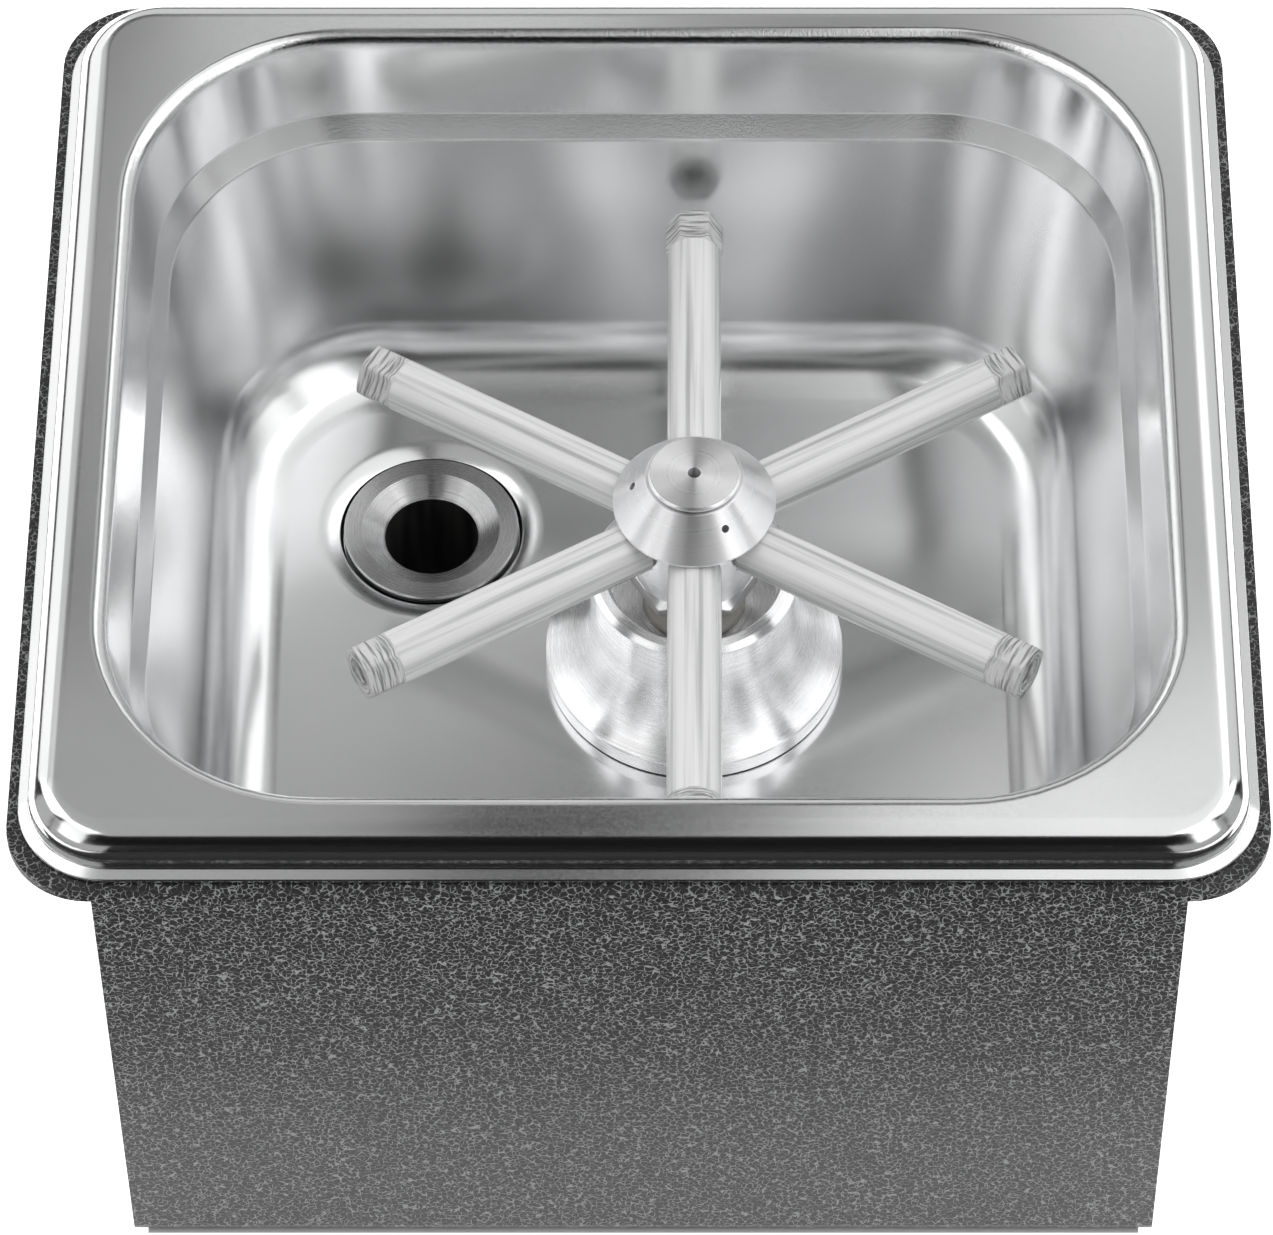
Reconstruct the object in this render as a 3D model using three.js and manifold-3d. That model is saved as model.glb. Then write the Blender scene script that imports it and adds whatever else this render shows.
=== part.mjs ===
// Drop-in pitcher rinser. A pressed stainless pan sits in a flanged sheet-metal housing. A six-armed
// star on a sprung hollow stem is pushed down to open the valve in the turned base on the pan's floor.
// Millimetres, +Z up, +X to the right, -Y to the front. The origin is the centre of the housing's underside.

import * as THREE from 'three';
import { mergeVertices } from 'three/addons/utils/BufferGeometryUtils.js';
import Module from 'manifold-3d';

const wasm = await Module();
wasm.setup();

// Driving dimensions: fits and edges
const GAP = 0.3;              // clearance between pieces that touch on the real object
const EDGE = 0.5;             // broken edge of a turned piece
const BEYOND = 1;             // how far a cutting shape runs past what it cuts

// Driving dimensions: housing
const BOX_W = 157.6;          // outside width of the box
const BOX_D = 144.2;          // outside depth of the box
const BOX_H = 110.2;          // underside to the top of the flange
const FLANGE_W = 179;
const FLANGE_D = 166;
const FLANGE_R = 12;          // corner radius of the flange
const STEEL = 1.5;            // housing sheet
const BEND = 0.8;             // inside radius of a fold
const TAB = 12;               // width of a side panel's inner weld tab
const TAB_TOP = BOX_H - 20;   // the upright tabs stop below the wide part of the pan
const FLOOR_HOLE_W = 104;     // service opening in the housing's floor
const FLOOR_HOLE_D = 88;
const FLOOR_HOLE_R = 12;

// Driving dimensions: pan
const LIP_Z = BOX_H + GAP;    // lower edge of the pan's rim
const RIM_Z = LIP_Z + 7;      // flat top of the rim
const FLOOR_Z = LIP_Z - 60;   // top of the pan's floor
const LEDGE_Z = LIP_Z - 8;    // top of the stacking ledge
const LEDGE_H = 4;
const PAN_SHEET = 0.8;
const LIP_HALF = 88;          // half width over the lip
const LIP_DIFF = 7;           // half width less half depth at the lip
const WELL_DIFF = 6.2;        // the same in the well
const LIP_R = 13;             // corner radius of the lip
const LIP_FLARE = 1;          // how far the lip stands out past the rim's outer wall
const RIM_FILLET = 4.6;       // from the flat rim down to its outer wall
const RIM_EDGE = 5.2;         // width taken from the flat rim by that fillet
const MOUTH_FILLET = 2.2;     // from the flat rim down into the well
const WELL_HALF = 76.8;       // half width at the well's upper edge
const WELL_R = 31.5;
const LEDGE_HALF = 74.3;
const LEDGE_FILLET = 1.2;
const WALL_HALF = 72.2;       // half width just under the ledge
const WALL_FILLET = 2;
const FLOOR_HALF = 66.2;      // half width where wall and floor would meet
const FLOOR_R = 27;           // corner radius there
const FLOOR_FILLET = 11;
const FLOOR_INSET = 20;       // the flat middle of the floor starts this far in
const CORNER_STEPS = 5;
const LOWER_SHARE = 0.6;      // steps in the lower face's arcs for each step in the upper's

// Driving dimensions: spray valve, on its own axis
const VALVE_X = 7.9;
const VALVE_Y = 1.5;
const BELL_FOOT_R = 23;
const BELL_NECK_R = 16;
const NECK_TAPER = 0.1;
const BELL_TOP = FLOOR_Z + 23;
const NECK_LOW = FLOOR_Z + 14;      // the neck's straight part ends here
const FLARE_LOW = FLOOR_Z + 3.6;
const FLARE_SWEEP = 65;             // degrees of the ellipse that the flare takes
const FOOT_RIM = 2;                 // width of the rim that stands on the floor
const FOOT_HOLLOW = 1.4;            // depth of the hollow that takes the gasket
const RECESS_R = 13.2;        // takes the hub's hexagon when the star is pressed
const RECESS_Z = FLOOR_Z + 15;
const SHANK_R = 11;
const SHANK_END = FLOOR_Z - 24.5;
const CHAMBER_R = 8;
const SEAT_Z = FLOOR_Z + 5.5; // downward face that the seal closes on
const SEAT_LIP = 2;           // thickness of the lip above the seat
const STEM_R = 4;
const STEM_BORE = 2.2;
const STEM_DISC_H = 1.6;
const STEM_SPIGOT_H = 5.4;
const STEM_SPIGOT_R = 3;      // locates the spring's cup washer
const CROSS_HOLE = 1.2;       // radius of the stem's cross holes
const STEM_SEAL_H = 2;
const RING_SECTION = 1.5;     // thickness of the stem's round seal
const BUSH_DEPTH = 5;
const BUSH_COLLAR = 2.2;      // width of the bush's collar
const BUSH_TOP = RECESS_Z + 1.5;
const CUP_TOP = SEAT_Z - 4.5; // upper face of the spring's cup washer
const CUP_SHEET = 1;
const CUP_R = 6.9;
const GUIDE_R = 6;
const SHANK_NUT_AF = 30;
const INLET_SEAT = SHANK_END + 6;   // top of the inlet's spigot, which the spring stands on
const INLET_AF = 22;
const INLET_HEX_H = 6.5;
const INLET_WASHER_H = 0.8;
const INLET_TAIL = 14;        // length of the inlet below its hexagon
const INLET_RIDGE = 4;        // from one ridge of the barb to the next
const INLET_BORE = 2.5;
const INLET_BARB = [3.9, 4.8];      // thin and thick radius of the hose barb
const SPRING_R = 5.4;
const SPRING_WIRE = 0.6;            // radius of the wire
const SPRING_TURNS = 7;
const SPRING_STEPS = 8;             // steps in a turn
const SPRING_SIDES = 5;

// Driving dimensions: star
const ARMS = 6;
const ARM_Z = LIP_Z - 24.5;
const ARM_R = 4.1;
const ARM_END = 57.5;         // from the hub's axis to the tip
const ARM_SEAT = 9;           // spot face on the hub barrel
const ARM_SOCKET_R = 2.6;
const ARM_ROOT = 6.9;         // inner end of the arm's spigot
const TIP_LENGTH = 5.2;
const TIP_AF = 7.9;           // across the flats of the hexagonal tip
const ARM_BORE = 1.9;
const ARM_BORE_START = 13;
const TIP_BORE = 2.2;         // threaded part of the bore
const TIP_BORE_DEPTH = TIP_LENGTH + 2;
const HUB_R = 9.6;
const HUB_TOP = LIP_Z - 20.5;
const HUB_FOOT = LIP_Z - 36.8;
const HEX_H = 3;
const GALLERY_R = 5;          // space in the hub that feeds the cap
const GALLERY_DEPTH = 8;
const CAP_SPIGOT_R = 4.7;
const CAP_SPIGOT_H = 3.8;
const CAP_WALL = 1.1;         // wall of the cap's spigot
const CAP_HOLLOW = [0.8, 2.2, 4.2];   // heights of the hollow's step, bend and neck in the cone
const CONE_R = 12.3;
const CONE_TOP_R = 7.4;
const CONE_TOP = LIP_Z - 13.8;
const NOZZLE_TOP = LIP_Z - 12.8;
const NOZZLE_R = 7;
const NOZZLE_SPIGOT_R = 2.4;
const NOZZLE_BEVEL = 0.35;
const CENTRE_HOLE = 0.95;
const SIDE_HOLE = 0.6;
const SIDE_HOLES = 3;
const SIDE_HOLE_DEPTH = 5;
const FIRST_SIDE_HOLE = 60;   // degrees from +X
const SIDE_HOLE_AT = 9.3;     // radius at which a side hole leaves the cone

// Driving dimensions: drain
const DRAIN_X = -33.6;
const DRAIN_Y = 26.8;
const DRAIN_TOP = FLOOR_Z - 0.1;
const DRAIN_FLANGE_R = 13.8;
const DRAIN_FLANGE_H = 1.2;
const DRAIN_GASKET_H = 0.5;
const DRAIN_BEVEL_R = 10.8;
const DRAIN_HOLE_R = 7.35;
const DRAIN_BEVEL_H = 2.2;
const DRAIN_TUBE_R = 9.6;
const DRAIN_END = FLOOR_Z - 26.5;
const DISH_R = 17.1;          // outer edge of the pressed slope round the drain
const DISH_SLOPE = 0.9;       // height of that slope
const DISH_DEPTH = 2.4;       // depth of the seat under the flange
const DRAIN_NUT_AF = 26;
const TAIL_AF = 24;
const TAIL_CUP = [6, -3];           // top and foot of the cup, from the drain's end
const TAIL_LENGTH = 18;             // from the drain's end to the tail's
const TAIL_RIDGE = 4.2;
const TAIL_BORE = 4.6;
const TAIL_BARB = [5.9, 7];

// Driving dimensions: clamps under the pan
const SEAL_H = 1.2;
const WASHER_H = 1;
const NUT_H = 6;
const NUT_LAND = 0.2;         // how far inside the flats the turned face of a nut ends
const NUT_CHAMFER = 30;       // degrees
const SHANK_WASHER_R = 17;
const DRAIN_WASHER_R = 14.4;

// Sides of a turned piece
const FINE = 30;
const MEDIUM = 20;
const COARSE = 14;
const HOLE_SIDES = 8;

const STAINLESS = { color: 0xb9bbbd, roughness: 0.28, metalness: 1 };
const TURNED = { color: 0xc4c5c6, roughness: 0.22, metalness: 1 };
const VEINED = { color: 0x2a2a2b, roughness: 0.6, metalness: 0.2 };
const CLEAR = { color: 0xe9ecec, roughness: 0.12, metalness: 0 };
const RUBBER = { color: 0x17181a, roughness: 0.8, metalness: 0 };
const ACETAL = { color: 0xe4e2da, roughness: 0.45, metalness: 0 };
const SPRING = { color: 0x9c9fa2, roughness: 0.3, metalness: 1 };

// A closed geometry becomes a solid: shared points are merged, triangles that shrank to a line at a
// pole are dropped, and the faces are turned outward.
function toSolid(geometry) {
  const bare = geometry.clone();
  bare.deleteAttribute('normal');
  bare.deleteAttribute('uv');
  const merged = mergeVertices(bare, 1e-4);
  const position = merged.getAttribute('position').array;
  const source = merged.index.array;
  const kept = [];
  for (let i = 0; i < source.length; i += 3) {
    const [a, b, c] = [source[i], source[i + 1], source[i + 2]];
    if (a !== b && b !== c && c !== a) kept.push(a, b, c);
  }
  if (signedVolume(position, kept) < 0) kept.reverse();
  const mesh = new wasm.Mesh({
    numProp: 3,
    vertProperties: new Float32Array(position),
    triVerts: new Uint32Array(kept),
  });
  return new wasm.Manifold(mesh);
}

function signedVolume(position, index) {
  const [a, b, c] = [new THREE.Vector3(), new THREE.Vector3(), new THREE.Vector3()];
  let sum = 0;
  for (let i = 0; i < index.length; i += 3) {
    a.fromArray(position, index[i] * 3);
    b.fromArray(position, index[i + 1] * 3);
    c.fromArray(position, index[i + 2] * 3);
    sum += a.dot(b.cross(c)) / 6;
  }
  return sum;
}

function toGeometry(solid) {
  const mesh = solid.getMesh();
  const geometry = new THREE.BufferGeometry();
  geometry.setAttribute('position', new THREE.BufferAttribute(mesh.vertProperties, 3));
  geometry.setIndex(new THREE.BufferAttribute(mesh.triVerts, 1));
  geometry.computeVertexNormals();
  return geometry;
}

// A body turned about the Z axis. The profile is a list of [radius, height] pairs that starts and ends
// on the axis, or closes on itself when ring is true.
function turned(profile, steps = MEDIUM, ring = false) {
  const points = profile.map(([radius, height]) => new THREE.Vector2(radius, height));
  if (ring) points.push(points[0].clone());
  return toSolid(new THREE.LatheGeometry(points, steps).rotateX(Math.PI / 2));
}

// A washer, sleeve or plain ring between two radii and two heights.
function sleeve(inner, outer, low, high, steps = MEDIUM) {
  return turned([[inner, low], [outer, low], [outer, high], [inner, high]], steps, true);
}

function rod(radius, low, high, steps = COARSE) {
  return turned([[0, low], [radius, low], [radius, high], [0, high]], steps);
}

// Hexagonal bar with corners on the Y axis.
function hexBar(acrossFlats, low, high) {
  const corner = acrossFlats / Math.sqrt(3);
  return toSolid(new THREE.CylinderGeometry(corner, corner, high - low, 6)
    .rotateX(Math.PI / 2)
    .translate(0, 0, (low + high) / 2));
}

// Hexagonal nut: both faces have the usual turned chamfer. The round blank is a hair wider than the corners.
function hexNut(acrossFlats, bore, low, high) {
  const corner = 1.005 * (acrossFlats / Math.sqrt(3));
  const land = acrossFlats / 2 - NUT_LAND;
  const fall = (corner - land) * Math.tan(THREE.MathUtils.degToRad(NUT_CHAMFER));
  const blank = turned([[0, low], [land, low], [corner, low + fall], [corner, high - fall], [land, high],
    [0, high]]);
  const nut = hexBar(acrossFlats, low, high).intersect(blank);
  return bore > 0 ? nut.subtract(rod(bore, low - BEYOND, high + BEYOND, MEDIUM)) : nut;
}

function roundedRect(halfX, halfY, radius) {
  const shape = new THREE.Shape();
  shape.absarc(halfX - radius, halfY - radius, radius, 0, Math.PI / 2);
  shape.absarc(radius - halfX, halfY - radius, radius, Math.PI / 2, Math.PI);
  shape.absarc(radius - halfX, radius - halfY, radius, Math.PI, 1.5 * Math.PI);
  shape.absarc(halfX - radius, radius - halfY, radius, 1.5 * Math.PI, 2 * Math.PI);
  return shape;
}

function plate(shape, low, high, curveSegments = 6) {
  const geometry = new THREE.ExtrudeGeometry(shape, {
    depth: high - low,
    bevelEnabled: false,
    curveSegments,
  });
  return toSolid(geometry.translate(0, 0, low));
}

function block(low, high) {
  const size = high.map((value, axis) => value - low[axis]);
  const centre = high.map((value, axis) => (value + low[axis]) / 2);
  return toSolid(new THREE.BoxGeometry(...size).translate(...centre));
}

// Outline of a folded strip of sheet. The path runs along the middle of the sheet, and each fold is an
// arc on both faces about one centre.
function foldedStrip(path, thickness, bend, steps = 3) {
  const half = thickness / 2;
  const middle = bend + half;
  const direction = (from, to) => to.clone().sub(from).normalize();
  const left = (vector) => new THREE.Vector2(-vector.y, vector.x);
  const face = (sign) => path.flatMap((point, i) => {
    if (i === 0) return [point.clone().addScaledVector(left(direction(point, path[1])), sign * half)];
    const into = direction(path[i - 1], point);
    if (i === path.length - 1) return [point.clone().addScaledVector(left(into), sign * half)];
    const away = direction(point, path[i + 1]);
    const turn = Math.atan2(into.cross(away), into.dot(away));
    const side = Math.sign(turn);
    const start = point.clone().addScaledVector(into, -middle * Math.tan(Math.abs(turn) / 2));
    const centre = start.clone().addScaledVector(left(into), side * middle);
    const radius = middle - sign * side * half;
    const spoke = left(into).multiplyScalar(-side * radius);
    return Array.from({ length: steps + 1 }, (_, k) =>
      spoke.clone().rotateAround(new THREE.Vector2(), (turn * k) / steps).add(centre));
  });
  return new THREE.Shape([...face(1), ...face(-1).reverse()]);
}

// A folded strip drawn in the plane across an axis and carried along it.
function foldedSheet(path, alongX, from, to) {
  const shape = foldedStrip(path.map(([across, height]) => new THREE.Vector2(across, height)), STEEL, BEND);
  const geometry = new THREE.ExtrudeGeometry(shape, { depth: to - from, bevelEnabled: false });
  const [x, y, z] = [new THREE.Vector3(1, 0, 0), new THREE.Vector3(0, 1, 0), new THREE.Vector3(0, 0, 1)];
  geometry.translate(0, 0, from);
  const basis = new THREE.Matrix4();
  if (alongX) basis.makeBasis(y, z, x);
  else basis.makeBasis(x, z, y.negate());
  return toSolid(geometry.applyMatrix4(basis));
}

// Flat flange all round the box, before it is divided among the panels.
function flangeRing() {
  const shape = roundedRect(FLANGE_W / 2, FLANGE_D / 2, FLANGE_R);
  const ring = plate(shape, BOX_H - STEEL, BOX_H);
  return ring.subtract(block([-BOX_W / 2, -BOX_D / 2, 0], [BOX_W / 2, BOX_D / 2, BOX_H + BEYOND]));
}

// Front, floor and back are one folded sheet. Its flanges carry the rounded corners.
function housingWrap() {
  const wall = BOX_D / 2 - STEEL / 2;
  const flange = BOX_H - STEEL / 2;
  const edge = BOX_D / 2 + 2 * BEND;
  const floor = STEEL / 2;
  const path = [[-edge, flange], [-wall, flange], [-wall, floor], [wall, floor], [wall, flange],
    [edge, flange]];
  const sheet = foldedSheet(path, true, -BOX_W / 2, BOX_W / 2);
  const reach = FLANGE_W / 2 + BEYOND;
  const between = block([-reach, -BOX_D / 2, 0], [reach, BOX_D / 2, BOX_H + BEYOND]);
  const ends = flangeRing().subtract(between);
  const hole = roundedRect(FLOOR_HOLE_W / 2, FLOOR_HOLE_D / 2, FLOOR_HOLE_R);
  const opening = plate(hole, -BEYOND, STEEL + BEYOND);
  return sheet.add(ends).subtract(opening);
}

// A side panel hangs its own length of flange between the corners of the wrap. Inner tabs lie against the
// front, the back and the floor, where the real ones are welded. sign is 1 on the right, -1 on the left.
function housingSide(sign) {
  const wall = BOX_W / 2 - STEEL / 2;
  const inside = BOX_D / 2 - STEEL - GAP;
  const tabFloor = STEEL + GAP + STEEL / 2;
  const path = [[BOX_W / 2 + 2 * BEND, BOX_H - STEEL / 2], [wall, BOX_H - STEEL / 2], [wall, tabFloor],
    [BOX_W / 2 - TAB, tabFloor]];
  const sheet = foldedSheet(path, false, -inside, inside);
  const seam = BOX_D / 2 - GAP;
  const strip = block([BOX_W / 2 - BEYOND, -inside, 0], [FLANGE_W, inside, BOX_H + BEYOND])
    .add(block([BOX_W / 2 + GAP, -seam, 0], [FLANGE_W, seam, BOX_H + BEYOND]));
  const flange = flangeRing().intersect(strip);
  const tabs = [-1, 1].map((end) => {
    const near = end * (inside - STEEL);
    const far = end * inside;
    return block([BOX_W / 2 - TAB, Math.min(near, far), tabFloor - STEEL / 2],
      [BOX_W / 2 - STEEL / 2, Math.max(near, far), TAB_TOP]);
  });
  const panel = sheet.add(flange).add(tabs[0]).add(tabs[1]);
  return sign > 0 ? panel : panel.mirror([1, 0, 0]);
}

// One level of the pan: a rounded rectangle given by half width, half width less half depth, corner
// radius and height.
function level(half, diff, radius, z, fillet = 0, steps = 0) {
  return { half, diff, radius, z, fillet, steps };
}

// The pan's upper face from the floor, up the wall, over the rim and down to the lip.
function panLevels() {
  const outer = LIP_HALF - LIP_FLARE;
  const outerR = LIP_R - LIP_FLARE;
  return [
    level(FLOOR_HALF - FLOOR_INSET, WELL_DIFF, FLOOR_R - FLOOR_INSET, FLOOR_Z),
    level(FLOOR_HALF, WELL_DIFF, FLOOR_R, FLOOR_Z, FLOOR_FILLET, 5),
    level(WALL_HALF, WELL_DIFF, WELL_R - 3, LEDGE_Z - LEDGE_H, WALL_FILLET, 1),
    level(LEDGE_HALF, WELL_DIFF, WELL_R - 2, LEDGE_Z, LEDGE_FILLET, 1),
    level(WELL_HALF, WELL_DIFF, WELL_R, RIM_Z, MOUTH_FILLET, 3),
    level(WELL_HALF + MOUTH_FILLET, WELL_DIFF, WELL_R + MOUTH_FILLET, RIM_Z),
    level(outer - RIM_EDGE, LIP_DIFF, outerR - RIM_EDGE, RIM_Z),
    level(outer, LIP_DIFF, outerR, RIM_Z, RIM_FILLET, 4),
    level(outer, LIP_DIFF, outerR, LIP_Z + 2 * LIP_FLARE),
    level(LIP_HALF, LIP_DIFF, LIP_R, LIP_Z + LIP_FLARE),
    level(LIP_HALF, LIP_DIFF, LIP_R, LIP_Z),
  ];
}

const mix = (from, to, share) => from + (to - from) * share;

// Each level with a fillet becomes an arc in the section, tangent to the lines before and after it.
// share scales the number of steps in every arc.
function filleted(levels, share) {
  const at = (entry) => new THREE.Vector2(entry.half, entry.z);
  return levels.flatMap((entry, i) => {
    if (entry.fillet === 0) return [entry];
    const [before, after] = [levels[i - 1], levels[i + 1]];
    const into = at(entry).sub(at(before)).normalize();
    const away = at(after).sub(at(entry)).normalize();
    const turn = Math.atan2(into.cross(away), into.dot(away));
    const run = entry.fillet * Math.tan(Math.abs(turn) / 2);
    const start = at(entry).addScaledVector(into, -run);
    const side = Math.sign(turn) * entry.fillet;
    const centre = start.clone().add(new THREE.Vector2(-into.y, into.x).multiplyScalar(side));
    const backShare = run / at(entry).distanceTo(at(before));
    const aheadShare = run / at(entry).distanceTo(at(after));
    const steps = Math.ceil(entry.steps * share);
    return Array.from({ length: steps + 1 }, (_, k) => {
      const way = k / steps;
      const point = start.clone().rotateAround(centre, turn * way);
      const offset = Math.max(0, 1 - 2 * way);
      const ahead = Math.max(0, 2 * way - 1);
      const blend = (key) => {
        const back = mix(entry[key], before[key], backShare * offset);
        return mix(back, after[key], aheadShare * ahead);
      };
      return level(point.x, blend('diff'), blend('radius'), point.y);
    });
  });
}

// The lower face: every level moved square to the section by the sheet's thickness.
function thickened(levels, thickness) {
  return levels.map((entry, i) => {
    const before = levels[Math.max(0, i - 1)];
    const after = levels[Math.min(levels.length - 1, i + 1)];
    const into = new THREE.Vector2(entry.half - before.half, entry.z - before.z).normalize();
    const away = new THREE.Vector2(after.half - entry.half, after.z - entry.z).normalize();
    const along = into.clone().add(away).normalize();
    const sharpest = 0.5;
    const reach = thickness / Math.max(sharpest, along.dot(i === 0 ? away : into));
    const shift = along.y * reach;
    const radius = Math.max(1, entry.radius + shift);
    return level(entry.half + shift, entry.diff, radius, entry.z - along.x * reach);
  });
}

function levelRing(entry) {
  const points = [];
  const halfY = entry.half - entry.diff;
  for (let corner = 0; corner < 4; corner += 1) {
    const signX = corner === 0 || corner === 3 ? 1 : -1;
    const signY = corner < 2 ? 1 : -1;
    for (let k = 0; k <= CORNER_STEPS; k += 1) {
      const angle = (Math.PI / 2) * (corner + k / CORNER_STEPS);
      points.push(new THREE.Vector3(
        signX * (entry.half - entry.radius) + entry.radius * Math.cos(angle),
        signY * (halfY - entry.radius) + entry.radius * Math.sin(angle),
        entry.z,
      ));
    }
  }
  return points;
}

// Skin through a stack of rings with equal counts, closed by a flat fan at either end.
function ringLoft(rings) {
  const count = rings[0].length;
  const points = rings.flat();
  const index = [];
  for (let row = 0; row + 1 < rings.length; row += 1) {
    for (let k = 0; k < count; k += 1) {
      const a = row * count + k;
      const b = row * count + ((k + 1) % count);
      index.push(a, b, b + count, a, b + count, a + count);
    }
  }
  const last = (rings.length - 1) * count;
  for (let k = 1; k + 1 < count; k += 1) {
    index.push(0, k + 1, k);
    index.push(last, last + k, last + k + 1);
  }
  const geometry = new THREE.BufferGeometry().setFromPoints(points);
  geometry.setIndex(index);
  return toSolid(geometry);
}

// The pressed seat round the drain: a pocket that takes the flange, and a slope up to the floor that
// leads the water in. The lower face is the same form, wider by grow and lower by drop.
function drainDish(grow, drop) {
  const top = FLOOR_Z + BEYOND;
  const floorLevel = FLOOR_Z - drop;
  const pocket = DRAIN_FLANGE_R + GAP + grow;
  const edge = DISH_R + grow;
  const seat = floorLevel - DISH_DEPTH;
  const slope = floorLevel - DISH_SLOPE;
  const brow = [edge - 2 * EDGE, floorLevel - DISH_SLOPE / 6];
  const profile = [[0, seat], [pocket, seat], [pocket + GAP, slope], brow, [edge, floorLevel],
    [edge + EDGE, top], [0, top]];
  return turned(profile, FINE).translate([DRAIN_X, DRAIN_Y, 0]);
}

function pan() {
  const upper = filleted(panLevels(), 1);
  const lower = thickened(filleted(panLevels(), LOWER_SHARE), PAN_SHEET).reverse();
  const shell = ringLoft([...upper, ...lower].map(levelRing));
  const belowFloor = block([-LIP_HALF, -LIP_HALF, 0], [LIP_HALF, LIP_HALF, FLOOR_Z - PAN_SHEET / 2]);
  const dishUnder = drainDish(PAN_SHEET / 2, PAN_SHEET).intersect(belowFloor);
  const hole = (radius, x, y) => rod(radius + GAP, FLOOR_Z - 2 * DISH_DEPTH, FLOOR_Z + BEYOND, MEDIUM)
    .translate([x, y, 0]);
  const valveHole = hole(SHANK_R, VALVE_X, VALVE_Y);
  const drainHole = hole(DRAIN_TUBE_R, DRAIN_X, DRAIN_Y);
  return shell.add(dishUnder).subtract(drainDish(0, 0)).subtract(valveHole).subtract(drainHole);
}

// Concave sweep of the bell from its upright neck out to the foot: part of an ellipse.
function bellFlare(steps) {
  const innerR = BELL_NECK_R - NECK_TAPER;
  const sweep = THREE.MathUtils.degToRad(FLARE_SWEEP);
  const across = (BELL_FOOT_R - EDGE - innerR) / (1 - Math.cos(sweep));
  const down = (NECK_LOW - FLARE_LOW) / Math.sin(sweep);
  return Array.from({ length: steps + 1 }, (_, k) => {
    const angle = (sweep * k) / steps;
    return [innerR + across * (1 - Math.cos(angle)), NECK_LOW - down * Math.sin(angle)];
  });
}

// Bell, guide and threaded shank are one turned piece. Its bore holds, from the top, the recess for the
// hub, the guide bush, the stem's seal, the lip above the seat, and the valve chamber.
function valveBase() {
  const foot = FLOOR_Z + GAP;
  const lipR = STEM_R + 2 * GAP;
  const profile = [
    [RECESS_R, BELL_TOP - EDGE], [RECESS_R + EDGE, BELL_TOP], [BELL_NECK_R - 2 * EDGE, BELL_TOP - EDGE / 2],
    [BELL_NECK_R, BELL_TOP - 2 * EDGE],
    ...bellFlare(5),
    [BELL_FOOT_R, FLARE_LOW - EDGE], [BELL_FOOT_R, foot], [BELL_FOOT_R - FOOT_RIM, foot],
    [BELL_FOOT_R - FOOT_RIM, foot + FOOT_HOLLOW], [SHANK_R, foot + FOOT_HOLLOW],
    [SHANK_R, SHANK_END + 2 * EDGE], [SHANK_R - 2 * EDGE, SHANK_END], [CHAMBER_R, SHANK_END],
    [CHAMBER_R, SEAT_Z], [lipR, SEAT_Z], [lipR, SEAT_Z + SEAT_LIP], [GUIDE_R, SEAT_Z + SEAT_LIP],
    [GUIDE_R, RECESS_Z], [RECESS_R, RECESS_Z],
  ];
  return turned(profile, FINE, true);
}

function guideBush() {
  const [inner, outer] = [STEM_R + GAP, GUIDE_R - GAP];
  const collar = outer + BUSH_COLLAR;
  const [low, ledge, top] = [RECESS_Z - BUSH_DEPTH, RECESS_Z + GAP, BUSH_TOP];
  return turned([[inner, low], [outer, low], [outer, ledge], [collar, ledge], [collar, top - EDGE],
    [collar - EDGE, top], [inner, top]], MEDIUM, true);
}

// A round-section ring: a circle turned about the axis.
function roundRing(radius, thickness, z, steps = MEDIUM) {
  const section = 6;
  const profile = Array.from({ length: section }, (_, k) => {
    const angle = (2 * Math.PI * k) / section;
    return [radius + (thickness / 2) * Math.cos(angle), z + (thickness / 2) * Math.sin(angle)];
  });
  return turned(profile, steps, true);
}

// Hollow plunger. Water enters by the cross holes once they have moved down past the seat.
function stem() {
  const disc = SEAT_Z - STEM_SEAL_H - 2 * GAP;
  const discR = CHAMBER_R - 1;
  const end = disc - STEM_DISC_H - STEM_SPIGOT_H;
  const top = HUB_TOP - GALLERY_DEPTH - EDGE;
  const body = turned([
    [0, end], [STEM_SPIGOT_R - EDGE, end], [STEM_SPIGOT_R, end + EDGE],
    [STEM_SPIGOT_R, disc - STEM_DISC_H], [discR, disc - STEM_DISC_H], [discR, disc], [STEM_R, disc],
    [STEM_R, top - EDGE], [STEM_R - EDGE, top], [STEM_BORE, top], [STEM_BORE, SEAT_Z - EDGE],
    [0, SEAT_Z - 3 * EDGE],
  ], MEDIUM);
  const cross = rod(CROSS_HOLE, -STEM_R - BEYOND, STEM_R + BEYOND, HOLE_SIDES)
    .rotate([90, 0, 0])
    .translate([0, 0, SEAT_Z + SEAT_LIP / 2]);
  return body.subtract(cross).subtract(cross.rotate([0, 0, 90]));
}

// Centre line of the return spring.
class Helix extends THREE.Curve {
  getPoint(t, target = new THREE.Vector3()) {
    const low = INLET_SEAT + GAP + SPRING_WIRE;
    const high = CUP_TOP - CUP_SHEET - GAP - SPRING_WIRE;
    const angle = 2 * Math.PI * SPRING_TURNS * t;
    return target.set(SPRING_R * Math.cos(angle), SPRING_R * Math.sin(angle), mix(low, high, t));
  }
}

// Least gap between one turn and the next, from points of the centre line.
function leastGap(curve) {
  const perTurn = 24;
  const points = curve.getPoints(SPRING_TURNS * perTurn);
  let least = Infinity;
  points.forEach((point, i) => {
    points.slice(i + perTurn / 2).forEach((other) => {
      least = Math.min(least, point.distanceTo(other) - 2 * SPRING_WIRE);
    });
  });
  return least;
}

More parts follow.
